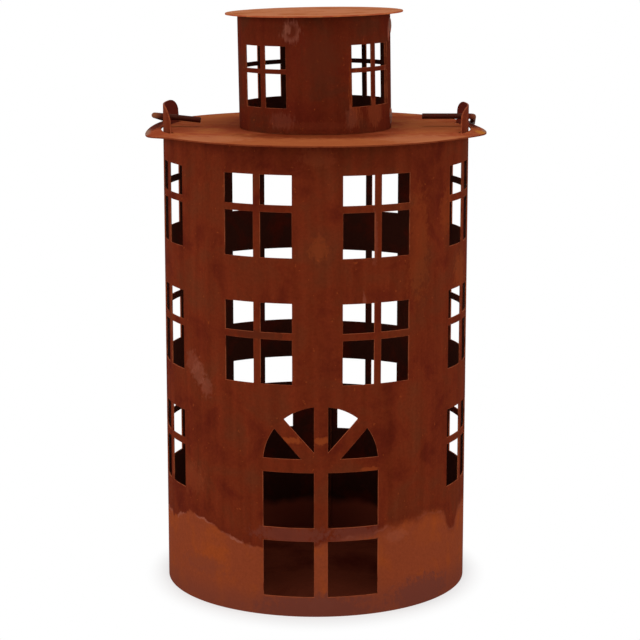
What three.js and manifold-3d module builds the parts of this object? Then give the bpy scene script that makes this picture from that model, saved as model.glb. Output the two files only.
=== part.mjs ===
// Sheet-steel tower lantern. A rolled round tower carries window and door cut-outs and two ears. A loose lid
// sits on the tower with the ears through its slots, a small turret with a flat roof is welded on the lid,
// and a wire bail hooks into the ears. Millimetres, +Z up, origin at the middle of the base, door towards -Y.
// An azimuth is in degrees from the door side, positive towards +X.
import * as THREE from 'three';
import { mergeVertices } from 'three/addons/utils/BufferGeometryUtils.js';
import Module from 'manifold-3d';

const wasm = await Module();
wasm.setup();

// Sheets and clearances
const SHEET = 1.0;
const PLATE = 1.0;
const SEAT_GAP = 0.3;

// Where a rolled sheet's ends lap, the under end comes back out to the full radius over this many degrees
const LAP_BLEND = 30;

// Tower wall. It is given as a front and two sides that meet face to face between the columns of windows.
const TOWER_RADIUS = 108;
const TOWER_HEIGHT = 325.7;
const TOWER_FACETS = 72;
const TOWER_SEAM_AZIMUTH = 180;
const TOWER_SEAM_LAP = 12;
const FRONT_EDGE_AZIMUTH = 50;

// Tower windows: two panes wide and two high, the upper panes lower than the ones below them
const WINDOW_WIDTH = 49.5;
const WINDOW_MULLION = 5.0;
const WINDOW_TRANSOM = 4.8;
const WINDOW_LOWER_PANE = 30.8;
const WINDOW_UPPER_PANE = 20.2;
// Sills of the three rows, measured down from the wall's top edge
const WINDOW_SILL_DROPS = [247.7, 162.7, 76.1];
// One entry for each column of windows. The rows were laid out by hand and climb towards the back.
const WINDOW_COLUMNS = [
  { azimuth: -157.2, rise: 4.4 },
  { azimuth: -112.8, rise: 3.6 },
  { azimuth: -71.3, rise: 0.8 },
  { azimuth: -21.7, rise: 0.3 },
  { azimuth: 22.8, rise: -0.2 },
  { azimuth: 71.6, rise: 0.6 },
  { azimuth: 113.2, rise: 1.9 },
  { azimuth: 157.9, rise: 2.8 },
];

// Door: an arched opening with bars, in place of the lowest windows that it would meet
const DOOR_AZIMUTH = 1.85;
const DOOR_HALF_WIDTH = 40.5;
const DOOR_SILL = 14;
const DOOR_SPRING = 108;
const DOOR_BAR = 9.5;
// Middles of the two rails, and the middle that the fan's bars point to, measured down from the spring line
const DOOR_RAIL_DROPS = [49.6, 1];
const FAN_DROP = 4;
const FAN_BAR_ANGLE = 42;
const FAN_BAR_START = 6;
const ARCH_STEPS = 24;

// Ears, cut by hand and not quite alike: how far each one stands above the lid and reaches to the front and
// to the rear of the pins, and the half axes of its rounded corners
const EARS = {
  left: { side: -1, above: 17, front: 39.4, rear: 40.2, frontCorner: [23, 12], rearCorner: [16, 9] },
  right: { side: 1, above: 16.2, front: 39, rear: 33.8, frontCorner: [18, 6.5], rearCorner: [15, 8] },
};
const EAR_TAPER = 1.2;
const EAR_CORNER_STEPS = 7;
// The ear's hole is larger than the wire. The wire lies near its bottom, so the bail has some free lift.
const EAR_HOLE_RADIUS = 4.2;
const EAR_HOLE_SIDES = 24;

// Lid. Its overhang is bent down a little beside each ear, most at an azimuth and less to both sides of it.
const LID_OVERHANG = 12.7;
const LID_FACETS = 96;
const LID_RINGS = 3;
const RIM_DROPS = [
  { azimuth: -84, drop: 3.8, spread: 35 },
  { azimuth: 94, drop: 2.8, spread: 42 },
];
const SLOT_INNER_GAP = 1.2;
const SLOT_OUTER_GAP = 1.4;
const SLOT_END_GAP = 1.5;
const SLOT_STEPS = 14;
const VENT_RADIUS = 40;

// Turret
const TURRET_RADIUS = 54;
const TURRET_HEIGHT = 80;
const TURRET_FACETS = 60;
const TURRET_SEAM_AZIMUTH = 76;
const TURRET_SEAM_LAP = 8;
const TURRET_WINDOWS = 4;
const TURRET_WINDOW_TURN = 48.2;
const TURRET_WINDOW_WIDTH = 38.1;
const TURRET_MULLION = 4.2;
const TURRET_TRANSOM = 3.2;
const TURRET_LOWER_PANE = 23.4;
const TURRET_UPPER_PANE = 15.7;
const TURRET_SILL = 18.1;
const TURRET_LEAN = 0.95;
const ROOF_OVERHANG = 8.5;
const ROOF_FACETS = 72;

// Bail: wire pins through the ears, straight arms and a half-round crown
const WIRE_RADIUS = 2;
const WIRE_SIDES = 12;
const PIN_LENGTH_LEFT = 33.7;
const PIN_LENGTH_RIGHT = 36.3;
const PIN_ABOVE_LID = 7.7;
const PIN_DROOP_LEFT = 6;
const ARM_SIDE_PLAY = 3.3;
const BAIL_SHIFT = -1.8;
const ARM_LENGTH = 64;
const ARM_LEAN = 4;
const ARM_DIP_RIGHT = 3;
const BAIL_BEND = 5;
const BAIL_BEND_STEPS = 5;
const CROWN_STEPS = 36;

// Weld beads: half lengths along the joint, out from it, and up it
const CORNER_BEAD = { along: 5, out: 3.2, up: 2.8 };
const SEAM_BEAD = { across: 2.6, out: 1.5, up: 6 };
const BEAD_SIDES = 12;
const BEAD_RINGS = 8;
const BEAD_COUNT = 4;
const FLOOR_BEAD_TURN = 30;
const TURRET_BEAD_TURN = -30;
const TOWER_SEAM_BEADS = 4;
const TOWER_SEAM_BEAD_INSET = 12.3;
const TURRET_SEAM_BEADS = 2;
const TURRET_SEAM_BEAD_INSET = 8.6;

// Cutters run past the sheet by this much on both sides
const CUT_REACH = 6;
// The widest turn that one side of a wedge spans, in degrees
const WEDGE_STEP = 45;
// Corners this close together are one corner
const SAME_PLACE = 1e-4;

// Places that follow from the sizes above
const TOWER_INSIDE = TOWER_RADIUS - SHEET;
const TURRET_INSIDE = TURRET_RADIUS - SHEET;
const LID_TOP = TOWER_HEIGHT + PLATE;
const LID_RADIUS = TOWER_RADIUS + LID_OVERHANG;
const ROOF_RADIUS = TURRET_RADIUS + ROOF_OVERHANG;
const EAR_TOP = LID_TOP + Math.max(EARS.left.above, EARS.right.above);
const PIN_HEIGHT = LID_TOP + PIN_ABOVE_LID;
const EAR_HOLE_HEIGHT = PIN_HEIGHT - WIRE_RADIUS - SEAT_GAP + EAR_HOLE_RADIUS;
const ARM_X = TOWER_RADIUS + ARM_SIDE_PLAY + WIRE_RADIUS;
const CROWN_RADIUS = ARM_X;

const radians = THREE.MathUtils.degToRad;
const degrees = THREE.MathUtils.radToDeg;

// Point on a circle about the vertical axis at an azimuth, in plan
function planPoint(radius, azimuth) {
  const angle = radians(azimuth);
  return new THREE.Vector2(radius * Math.sin(angle), -radius * Math.cos(angle));
}

// Frame that stands at an azimuth and looks outwards: X along the wall, Y up and Z out from the axis
function facing(azimuth, radius, height) {
  const angle = radians(azimuth);
  const along = new THREE.Vector3(Math.cos(angle), Math.sin(angle), 0);
  const up = new THREE.Vector3(0, 0, 1);
  const out = new THREE.Vector3(Math.sin(angle), -Math.cos(angle), 0);
  const frame = new THREE.Matrix4().makeBasis(along, up, out);
  return frame.setPosition(out.clone().multiplyScalar(radius).setZ(height));
}

// Booleans
function solidOf(geometry) {
  const bare = geometry.index ? geometry.clone() : geometry;
  bare.deleteAttribute('normal');
  bare.deleteAttribute('uv');
  const merged = mergeVertices(bare, SAME_PLACE);
  const mesh = new wasm.Mesh({
    numProp: 3,
    vertProperties: new Float32Array(merged.attributes.position.array),
    triVerts: new Uint32Array(merged.index.array),
  });
  return new wasm.Manifold(mesh);
}

function geometryOf(solid) {
  const mesh = solid.getMesh();
  const geometry = new THREE.BufferGeometry();
  geometry.setAttribute('position', new THREE.BufferAttribute(new Float32Array(mesh.vertProperties), 3));
  geometry.setIndex(new THREE.BufferAttribute(new Uint32Array(mesh.triVerts), 1));
  return geometry;
}

const prism = (shape, depth) => new THREE.ExtrudeGeometry(shape, { depth, bevelEnabled: false });

// Upright cylinder from one height to another
function cylinder(radius, from, to, sides) {
  const geometry = new THREE.CylinderGeometry(radius, radius, to - from, sides);
  geometry.rotateX(Math.PI / 2);
  geometry.translate(0, 0, (from + to) / 2);
  return geometry;
}

// Wedge between two azimuths, with its edge on the vertical axis
function wedge(from, to, radius, height) {
  const steps = Math.ceil((to - from) / WEDGE_STEP);
  const rim = Array.from({ length: steps + 1 }, (_, i) => planPoint(radius, from + ((to - from) * i) / steps));
  return solidOf(prism(new THREE.Shape([new THREE.Vector2(), ...rim]), height));
}

// Cutter through the wall at an azimuth, for an outline measured along the flat sheet before it was rolled.
// A wide outline needs a deeper cutter, because the wall falls back at its ends.
function wallCutter(outline, azimuth, radius, reach = CUT_REACH) {
  const rolled = outline.map((point) => new THREE.Vector2(radius * Math.sin(point.x / radius), point.y));
  const widest = Math.max(...outline.map((point) => Math.abs(point.x)));
  const from = radius * Math.cos(widest / radius) - reach;
  const geometry = prism(new THREE.Shape(rolled), radius + reach - from);
  geometry.applyMatrix4(facing(azimuth, from, 0));
  return solidOf(geometry);
}

function rectangle(left, bottom, right, top) {
  return [
    new THREE.Vector2(left, bottom),
    new THREE.Vector2(right, bottom),
    new THREE.Vector2(right, top),
    new THREE.Vector2(left, top),
  ];
}

// Plan of a sheet rolled to a ring whose ends lap. The outer end stops at the seam's azimuth, and the
// under end dips one sheet inwards to pass beneath it, then comes back out to the full radius.
function outerRadius(radius, turned) {
  const dip = Math.max(0, 1 - turned / LAP_BLEND);
  return radius - SHEET * dip;
}

function rolledOuter(radius, seam, facets) {
  const points = [];
  for (let i = 0; i <= facets; i += 1) {
    const turned = (360 * i) / facets;
    points.push(planPoint(outerRadius(radius, turned), seam + turned));
  }
  return points;
}

function rolledInner(radius, seam, lap, facets) {
  const lapStart = 360 - degrees(lap / radius);
  const points = [];
  for (let i = 0; i < facets; i += 1) {
    const turned = (360 * i) / facets;
    if (turned < lapStart) {
      points.push(planPoint(outerRadius(radius, turned) - SHEET, seam + turned));
    }
  }
  points.push(planPoint(radius - SHEET, seam + lapStart));
  points.push(planPoint(radius - 2 * SHEET, seam + lapStart));
  return points;
}

function rolledSheet(radius, seam, lap, facets, height) {
  const plan = new THREE.Shape(rolledOuter(radius, seam, facets));
  plan.holes.push(new THREE.Path(rolledInner(radius, seam, lap, facets)));
  return prism(plan, height);
}

// The four panes of a window, from its sill up
function windowPanes(sill, width, mullion, transom, lower, upper) {
  const edge = width / 2;
  const bar = mullion / 2;
  const rail = sill + lower;
  const top = rail + transom + upper;
  return [
    rectangle(-edge, sill, -bar, rail),
    rectangle(bar, sill, edge, rail),
    rectangle(-edge, rail + transom, -bar, top),
    rectangle(bar, rail + transom, edge, top),
  ];
}

// Door
function doorOutline() {
  const shape = new THREE.Shape();
  shape.moveTo(-DOOR_HALF_WIDTH, DOOR_SILL);
  shape.lineTo(DOOR_HALF_WIDTH, DOOR_SILL);
  shape.lineTo(DOOR_HALF_WIDTH, DOOR_SPRING);
  shape.absarc(0, DOOR_SPRING, DOOR_HALF_WIDTH, 0, Math.PI, false);
  return shape.getPoints(ARCH_STEPS);
}

function fanBar(side) {
  const lean = radians(FAN_BAR_ANGLE) * side;
  const reach = DOOR_HALF_WIDTH + DOOR_BAR;
  const centre = new THREE.Vector2(0, DOOR_SPRING - FAN_DROP);
  return rectangle(-DOOR_BAR / 2, FAN_BAR_START, DOOR_BAR / 2, reach).map((point) => {
    return point.rotateAround(new THREE.Vector2(), -lean).add(centre);
  });
}

function doorBars() {
  const past = DOOR_HALF_WIDTH + DOOR_BAR;
  const crown = DOOR_SPRING + past;
  const half = DOOR_BAR / 2;
  const rails = DOOR_RAIL_DROPS.map((drop) => {
    return rectangle(-past, DOOR_SPRING - drop - half, past, DOOR_SPRING - drop + half);
  });
  return [rectangle(-half, 0, half, crown), ...rails, fanBar(-1), fanBar(1)];
}

function doorCutter() {
  let opening = wallCutter(doorOutline(), DOOR_AZIMUTH, TOWER_RADIUS);
  for (const bar of doorBars()) {
    opening = opening.subtract(wallCutter(bar, DOOR_AZIMUTH, TOWER_RADIUS, CUT_REACH + SHEET));
  }
  return opening;
}

// A window column is left out of a row where it would meet the door
function meetsDoor(column, sill) {
  const turn = Math.abs(column.azimuth - DOOR_AZIMUTH);
  const apart = TOWER_RADIUS * radians(turn) - WINDOW_WIDTH / 2 - DOOR_HALF_WIDTH;
  return apart < 0 && sill < DOOR_SPRING + DOOR_HALF_WIDTH;
}

// Ear: a slightly tapered tongue with rounded corners. X runs towards the rear.
function earOutline(ear) {
  const shape = new THREE.Shape();
  const top = LID_TOP + ear.above;
  const [rearAlong, rearUp] = ear.rearCorner;
  const [frontAlong, frontUp] = ear.frontCorner;
  const rear = ear.rear - EAR_TAPER - rearAlong;
  const front = -ear.front + EAR_TAPER + frontAlong;
  shape.moveTo(-ear.front, TOWER_HEIGHT - CUT_REACH);
  shape.lineTo(ear.rear, TOWER_HEIGHT - CUT_REACH);
  shape.lineTo(ear.rear, LID_TOP);
  shape.absellipse(rear, top - rearUp, rearAlong, rearUp, 0, Math.PI / 2, false, 0);
  shape.absellipse(front, top - frontUp, frontAlong, frontUp, Math.PI / 2, Math.PI, false, 0);
  shape.lineTo(-ear.front, LID_TOP);
  return new THREE.Shape(shape.getPoints(EAR_CORNER_STEPS));
}

// The outline is drawn for the right-hand side and pushed out from the axis to one side
function earTongue(ear) {
  const reach = TOWER_RADIUS + CUT_REACH;
  const tongue = prism(earOutline(ear), reach);
  tongue.applyMatrix4(facing(90, 0, 0));
  if (ear.side < 0) {
    tongue.translate(-reach, 0, 0);
  }
  return solidOf(tongue);
}

function towerSheet() {
  const across = TOWER_RADIUS + CUT_REACH;
  const below = new THREE.BoxGeometry(2 * across, 2 * across, TOWER_HEIGHT);
  below.translate(0, 0, TOWER_HEIGHT / 2);
  const keep = solidOf(below).add(earTongue(EARS.left)).add(earTongue(EARS.right));
  const ring = rolledSheet(TOWER_RADIUS, TOWER_SEAM_AZIMUTH, TOWER_SEAM_LAP, TOWER_FACETS, EAR_TOP);
  let wall = solidOf(ring).intersect(keep);
  for (const drop of WINDOW_SILL_DROPS) {
    const sill = TOWER_HEIGHT - drop;
    for (const column of WINDOW_COLUMNS) {
      if (meetsDoor(column, sill)) {
        continue;
      }
      const panes = windowPanes(sill + column.rise, WINDOW_WIDTH, WINDOW_MULLION, WINDOW_TRANSOM,
        WINDOW_LOWER_PANE, WINDOW_UPPER_PANE);
      for (const pane of panes) {
        wall = wall.subtract(wallCutter(pane, column.azimuth, TOWER_RADIUS));
      }
    }
  }
  wall = wall.subtract(doorCutter());
  const pinHoles = cylinder(EAR_HOLE_RADIUS, -across, across, EAR_HOLE_SIDES);
  pinHoles.applyMatrix4(facing(90, 0, EAR_HOLE_HEIGHT));
  return wall.subtract(solidOf(pinHoles));
}

// The part of the wall between two azimuths
function wallBetween(sheet, from, to) {
  return geometryOf(sheet.intersect(wedge(from, to, 2 * TOWER_RADIUS, EAR_TOP)));
}

// Floor plate, flush with the bottom edge of the wall. It follows the inside of the rolled sheet, with a
// notch for the inner end of the lap.
function floorPlate() {
  const lap = TOWER_SEAM_LAP + SEAT_GAP;
  const outline = rolledInner(TOWER_RADIUS - SEAT_GAP, TOWER_SEAM_AZIMUTH, lap, TOWER_FACETS);
  return prism(new THREE.Shape(outline), PLATE);
}

// Slot in the lid for an ear
function earSlot(ear) {
  const inner = TOWER_INSIDE - SLOT_INNER_GAP;
  const outer = TOWER_RADIUS + SLOT_OUTER_GAP;
  const front = 90 - degrees(Math.asin((ear.front + SLOT_END_GAP) / TOWER_INSIDE));
  const rear = 90 + degrees(Math.asin((ear.rear + SLOT_END_GAP) / TOWER_INSIDE));
  const azimuths = Array.from({ length: SLOT_STEPS + 1 }, (_, i) => {
    return ear.side * (front + ((rear - front) * i) / SLOT_STEPS);
  });
  const outerEdge = azimuths.map((azimuth) => planPoint(outer, azimuth));
  const innerEdge = azimuths.map((azimuth) => planPoint(inner, azimuth)).reverse();
  const cutter = prism(new THREE.Shape([...outerEdge, ...innerEdge]), PLATE + 2 * CUT_REACH);
  cutter.translate(0, 0, -CUT_REACH);
  return solidOf(cutter);
}

// How far the lid's overhang is bent down at a point
function rimDrop(radius, azimuth) {
  const out = Math.max(0, (radius - TOWER_RADIUS) / LID_OVERHANG);
  return RIM_DROPS.reduce((sum, bent) => {
    const turn = Math.min(Math.abs(azimuth - bent.azimuth) / bent.spread, 1);
    return sum + bent.drop * out * Math.cos((turn * Math.PI) / 2) ** 2;
  }, 0);
}

function lidPlate() {
  const under = Array.from({ length: LID_RINGS + 1 }, (_, i) => {
    return new THREE.Vector2(TOWER_RADIUS + (LID_OVERHANG * i) / LID_RINGS, 0);
  });
  const over = under.map((point) => new THREE.Vector2(point.x, PLATE)).reverse();
  const start = new THREE.Vector2(VENT_RADIUS, 0);
  const profile = [start, ...under, ...over, new THREE.Vector2(VENT_RADIUS, PLATE), start];
  const disc = new THREE.LatheGeometry(profile, LID_FACETS);
  disc.rotateX(Math.PI / 2);
  const place = disc.attributes.position;
  for (let i = 0; i < place.count; i += 1) {
    const azimuth = degrees(Math.atan2(place.getX(i), -place.getY(i)));
    const drop = rimDrop(Math.hypot(place.getX(i), place.getY(i)), azimuth);
    place.setZ(i, place.getZ(i) - drop);
  }
  return geometryOf(solidOf(disc).subtract(earSlot(EARS.left)).subtract(earSlot(EARS.right)));
}

// Turret. It leans a little to the left, and its foot is cut level to stand on the lid.
function turretWall() {
  const height = TURRET_HEIGHT + CUT_REACH;
  const ring = rolledSheet(TURRET_RADIUS, TURRET_SEAM_AZIMUTH, TURRET_SEAM_LAP, TURRET_FACETS, height);
  ring.translate(0, 0, -CUT_REACH);
  const ground = new THREE.BoxGeometry(4 * TURRET_RADIUS, 4 * TURRET_RADIUS, 2 * CUT_REACH);
  ground.translate(0, 0, SEAT_GAP - CUT_REACH);
  ground.rotateY(radians(TURRET_LEAN));
  let wall = solidOf(ring).subtract(solidOf(ground));
  const panes = windowPanes(TURRET_SILL, TURRET_WINDOW_WIDTH, TURRET_MULLION, TURRET_TRANSOM,
    TURRET_LOWER_PANE, TURRET_UPPER_PANE);
  for (let i = 0; i < TURRET_WINDOWS; i += 1) {
    const azimuth = TURRET_WINDOW_TURN + (360 * i) / TURRET_WINDOWS;
    for (const pane of panes) {
      wall = wall.subtract(wallCutter(pane, azimuth, TURRET_RADIUS));
    }
  }
  return geometryOf(wall);
}

const turretRoof = () => cylinder(ROOF_RADIUS, 0, PLATE, ROOF_FACETS);

// Bail. The wire runs through stations that lie closer together in its bends.
class StationCurve extends THREE.Curve {
  constructor(stations) {
    super();
    this.stations = stations;
  }

  getPoint(t, target = new THREE.Vector3()) {
    const last = this.stations.length - 1;
    const place = Math.min(Math.max(t, 0), 1) * last;
    const index = Math.min(Math.floor(place), last - 1);
    return target.lerpVectors(this.stations[index], this.stations[index + 1], place - index);
  }

  getPointAt(u, target) {
    return this.getPoint(u, target);
  }

  getTangentAt(u, target = new THREE.Vector3()) {
    const step = 0.5 / (this.stations.length - 1);
    return target.copy(this.getPoint(u + step)).sub(this.getPoint(u - step)).normalize();
  }
}

// Stations round the corner where the wire turns from one straight run to the next
function bend(corner, from, to, radius, steps) {
  const incoming = from.clone().sub(corner).normalize();
  const outgoing = to.clone().sub(corner).normalize();
  const halfAngle = incoming.angleTo(outgoing) / 2;
  const tangent = radius / Math.tan(halfAngle);
  const middle = incoming.clone().add(outgoing).normalize();
  const centre = corner.clone().addScaledVector(middle, radius / Math.sin(halfAngle));
  const start = corner.clone().addScaledVector(incoming, tangent).sub(centre);
  const end = corner.clone().addScaledVector(outgoing, tangent).sub(centre);
  const turn = start.angleTo(end);
  const axis = start.clone().cross(end).normalize();
  return Array.from({ length: steps + 1 }, (_, i) => {
    return start.clone().applyAxisAngle(axis, (turn * i) / steps).add(centre);
  });
}

// The wire is a little twisted, so its right side lies lower than the plane of the left arm and the pins
const twistDrop = (side) => (ARM_DIP_RIGHT * (1 + side)) / 2;

// One end of the wire, in the bail's own plane: +Y runs out along the arms. The pin crosses the hinge axis
// where it passes through the ear, so a drooping pin still turns inside its hole.
function bailEnd(side, pinLength, droop) {
  const ear = new THREE.Vector3(side * (TOWER_RADIUS - SHEET / 2), 0, 0);
  const inwards = new THREE.Vector3(-side * Math.cos(radians(droop)), 0, -Math.sin(radians(droop)));
  const armX = side * ARM_X + BAIL_SHIFT;
  const outside = Math.abs(armX - ear.x) / Math.cos(radians(droop));
  const corner = ear.clone().addScaledVector(inwards, -outside);
  const tip = corner.clone().addScaledVector(inwards, pinLength);
  const shoulder = new THREE.Vector3(armX + ARM_LEAN, ARM_LENGTH, -twistDrop(side));
  return [tip, ...bend(corner, tip, shoulder, BAIL_BEND, BAIL_BEND_STEPS)];
}

function crownStations() {
  return Array.from({ length: CROWN_STEPS + 1 }, (_, i) => {
    const angle = Math.PI * (1 - i / CROWN_STEPS);
    const across = BAIL_SHIFT + ARM_LEAN + CROWN_RADIUS * Math.cos(angle);
    const out = ARM_LENGTH + CROWN_RADIUS * Math.sin(angle);
    return new THREE.Vector3(across, out, -twistDrop(Math.cos(angle)));
  });
}

function bailWire() {
  const left = bailEnd(-1, PIN_LENGTH_LEFT, PIN_DROOP_LEFT);
  const right = bailEnd(1, PIN_LENGTH_RIGHT, 0).reverse();
  const stations = [...left, ...crownStations(), ...right];
  const section = new THREE.Shape(Array.from({ length: WIRE_SIDES }, (_, i) => {
    const angle = (2 * Math.PI * i) / WIRE_SIDES;
    return new THREE.Vector2(WIRE_RADIUS * Math.cos(angle), WIRE_RADIUS * Math.sin(angle));
  }));
  return new THREE.ExtrudeGeometry(section, {
    steps: stations.length - 1,
    extrudePath: new StationCurve(stations),
    bevelEnabled: false,
  });
}

// Slope at which an arm would lie on the lid's rim with the seat gap, where the arm crosses the rim
function armSlope(side) {
  const start = side * ARM_X + BAIL_SHIFT;
  const lean = ARM_LEAN / ARM_LENGTH;
  const reach = Math.sqrt((start * lean) ** 2 - (1 + lean ** 2) * (start ** 2 - LID_RADIUS ** 2));
  const rimY = (reach - start * lean) / (1 + lean ** 2);
  const azimuth = degrees(Math.atan2(start + lean * rimY, -rimY));
  const fall = PIN_ABOVE_LID - WIRE_RADIUS - SEAT_GAP + rimDrop(LID_RADIUS, azimuth);
  return Math.atan2(fall, rimY) - Math.atan2(twistDrop(side), ARM_LENGTH);
}

// The arm that meets the rim first stops the bail
const bailSlope = () => Math.min(armSlope(-1), armSlope(1));

// Weld beads. A corner bead is the part of an ellipsoid that lies inside a cylinder and above a plate.
function bead(size) {
  const geometry = new THREE.SphereGeometry(1, BEAD_SIDES, BEAD_RINGS);
  geometry.scale(size.x, size.y, size.z);
  return geometry;
}

function cornerBead(azimuth, inside, plateHeight, up) {
  const reach = CORNER_BEAD.up + SHEET;
  const lower = up ? plateHeight : plateHeight - reach;
  const room = cylinder(inside - SEAT_GAP, lower, lower + reach, TOWER_FACETS);
  const blob = bead(new THREE.Vector3(CORNER_BEAD.along, CORNER_BEAD.up, CORNER_BEAD.out));
  blob.applyMatrix4(facing(azimuth, inside - SEAT_GAP, plateHeight));
  return geometryOf(solidOf(blob).intersect(solidOf(room)));
}

// A seam bead lies in the step where the outer end of a rolled sheet stops
function seamBead(radius, seam, facets, height, wallHeight) {
  const core = prism(new THREE.Shape(rolledOuter(radius + SEAT_GAP, seam, facets)), wallHeight);
  const blob = bead(new THREE.Vector3(SEAM_BEAD.across, SEAM_BEAD.up, SEAM_BEAD.out));
  blob.applyMatrix4(facing(seam, radius, height));
  return geometryOf(solidOf(blob).subtract(solidOf(core)));
}

// Materials: bare rusted steel, browner on the plates that lie open to the rain
const METALNESS = 0.35;
const steel = (color, roughness) => new THREE.MeshStandardMaterial({ color, roughness, metalness: METALNESS });
const wallSteel = steel(0x5c2114, 0.85);
const plateSteel = steel(0xa3532d, 0.9);
const wireSteel = steel(0x3c1610, 0.7);
const weldSteel = steel(0x7d5648, 0.8);

function named(name, geometry, material) {
  const mesh = new THREE.Mesh(geometry, material);
  mesh.name = name;
  return mesh;
}

// Heights of beads spaced evenly between insets from both ends of a seam
function beadHeights(count, inset, height) {
  return Array.from({ length: count }, (_, i) => inset + ((height - 2 * inset) * i) / (count - 1));
}

// Assembly
function buildTower() {
  const group = new THREE.Group();
  const sheet = towerSheet();
  const edge = FRONT_EDGE_AZIMUTH;
  group.add(named('tower_wall_front', wallBetween(sheet, -edge, edge), wallSteel));
  group.add(named('tower_wall_right', wallBetween(sheet, edge, TOWER_SEAM_AZIMUTH), wallSteel));
  group.add(named('tower_wall_left', wallBetween(sheet, TOWER_SEAM_AZIMUTH - 360, -edge), wallSteel));
  group.add(named('floor_plate', floorPlate(), plateSteel));
  for (let i = 0; i < BEAD_COUNT; i += 1) {
    const azimuth = FLOOR_BEAD_TURN + (360 * i) / BEAD_COUNT;
    const geometry = cornerBead(azimuth, TOWER_INSIDE, PLATE, true);
    group.add(named(`floor_weld_${i + 1}`, geometry, weldSteel));
  }
  beadHeights(TOWER_SEAM_BEADS, TOWER_SEAM_BEAD_INSET, TOWER_HEIGHT).forEach((height, i) => {
    const geometry = seamBead(TOWER_RADIUS, TOWER_SEAM_AZIMUTH, TOWER_FACETS, height, TOWER_HEIGHT);
    group.add(named(`tower_seam_weld_${i + 1}`, geometry, weldSteel));
  });
  return group;
}

function buildTurret() {
  const group = new THREE.Group();
  group.add(named('turret_wall', turretWall(), wallSteel));
  const roof = named('turret_roof', turretRoof(), plateSteel);
  roof.position.z = TURRET_HEIGHT + SEAT_GAP;
  group.add(roof);
  for (let i = 0; i < BEAD_COUNT; i += 1) {
    const azimuth = TURRET_BEAD_TURN + (360 * i) / BEAD_COUNT;
    const geometry = cornerBead(azimuth, TURRET_INSIDE, TURRET_HEIGHT, false);
    group.add(named(`roof_weld_${i + 1}`, geometry, weldSteel));
  }
  beadHeights(TURRET_SEAM_BEADS, TURRET_SEAM_BEAD_INSET, TURRET_HEIGHT).forEach((height, i) => {
    const geometry = seamBead(TURRET_RADIUS, TURRET_SEAM_AZIMUTH, TURRET_FACETS, height, TURRET_HEIGHT);
    group.add(named(`turret_seam_weld_${i + 1}`, geometry, weldSteel));
  });
  group.position.z = PLATE;
  group.rotation.y = -radians(TURRET_LEAN);
  return group;
}

function buildLid() {
  const group = new THREE.Group();
  group.add(named('lid_plate', lidPlate(), plateSteel));
  group.add(buildTurret());
  for (let i = 0; i < BEAD_COUNT; i += 1) {
    const azimuth = TURRET_BEAD_TURN + (360 * i) / BEAD_COUNT;
    const geometry = cornerBead(azimuth, TURRET_INSIDE, PLATE, true);
    group.add(named(`turret_foot_weld_${i + 1}`, geometry, weldSteel));
  }
  group.position.z = TOWER_HEIGHT;
  return group;
}

function buildBail() {
  const group = new THREE.Group();
  group.add(named('bail', bailWire(), wireSteel));
  group.position.z = PIN_HEIGHT;
  group.rotation.x = -bailSlope();
  return group;
}

const lantern = new THREE.Group();
lantern.add(buildTower());
lantern.add(buildLid());
lantern.add(buildBail());

export default lantern;
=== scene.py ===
"""Rusted sheet-steel tower lantern: its finished pieces, their materials, the light and the camera.

Each piece is made where its CAD node stands, in metres. The sheets are cut flat and then rolled, as the
real ones are. An azimuth is in degrees from the door side, positive towards +X.
"""

from math import asin, atan2, ceil, cos, degrees, hypot, pi, radians, sin, sqrt, tan

import bmesh
import bpy
from bpy.props import FloatProperty, FloatVectorProperty, IntProperty, PointerProperty
from mathutils import Matrix, Vector, noise


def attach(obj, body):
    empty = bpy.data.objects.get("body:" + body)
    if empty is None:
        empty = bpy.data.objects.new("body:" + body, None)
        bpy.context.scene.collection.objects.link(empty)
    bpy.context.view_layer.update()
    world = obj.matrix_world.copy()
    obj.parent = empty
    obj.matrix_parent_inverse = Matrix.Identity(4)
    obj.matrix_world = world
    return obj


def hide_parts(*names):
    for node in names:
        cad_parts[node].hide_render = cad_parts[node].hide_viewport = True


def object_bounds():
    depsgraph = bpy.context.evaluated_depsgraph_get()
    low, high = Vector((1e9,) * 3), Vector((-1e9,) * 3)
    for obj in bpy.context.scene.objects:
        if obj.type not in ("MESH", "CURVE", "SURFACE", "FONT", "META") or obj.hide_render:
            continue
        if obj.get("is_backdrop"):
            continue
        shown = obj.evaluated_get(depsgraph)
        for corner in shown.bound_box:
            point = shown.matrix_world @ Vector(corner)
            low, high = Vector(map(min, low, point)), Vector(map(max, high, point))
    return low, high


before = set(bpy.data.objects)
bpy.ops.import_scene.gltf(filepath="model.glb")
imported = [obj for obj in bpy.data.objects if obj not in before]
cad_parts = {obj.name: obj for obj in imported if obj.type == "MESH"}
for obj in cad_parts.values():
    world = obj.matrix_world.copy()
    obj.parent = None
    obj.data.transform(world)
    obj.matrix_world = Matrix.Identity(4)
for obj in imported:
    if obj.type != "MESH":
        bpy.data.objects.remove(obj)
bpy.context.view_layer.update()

bl_info = {
    "name": "Tower Lantern",
    "version": (1, 0, 0),
    "blender": (4, 5, 0),
    "location": "3D View > Sidebar > Lantern",
    "description": "Builds a rusted sheet-steel tower lantern with a lid, a turret and a wire bail",
    "category": "Add Mesh",
}

MM = 0.001

# Sheets and clearances, as in the CAD model
SHEET = 1.0 * MM
SEAT_GAP = 0.3 * MM
LAP_BLEND = 30
LAP_PLAY = 0.04 * MM
TOWER_SEAM_AZIMUTH = 180

# Tower windows: azimuth of each column, and how far its rows climb above the common height
WINDOW_COLUMNS = (
    (-157.2, 4.4 * MM),
    (-112.8, 3.6 * MM),
    (-71.3, 0.8 * MM),
    (-21.7, 0.3 * MM),
    (22.8, -0.2 * MM),
    (71.6, 0.6 * MM),
    (113.2, 1.9 * MM),
    (157.9, 2.8 * MM),
)
WINDOW_SILL_DROPS = (247.7 * MM, 162.7 * MM, 76.1 * MM)

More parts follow.
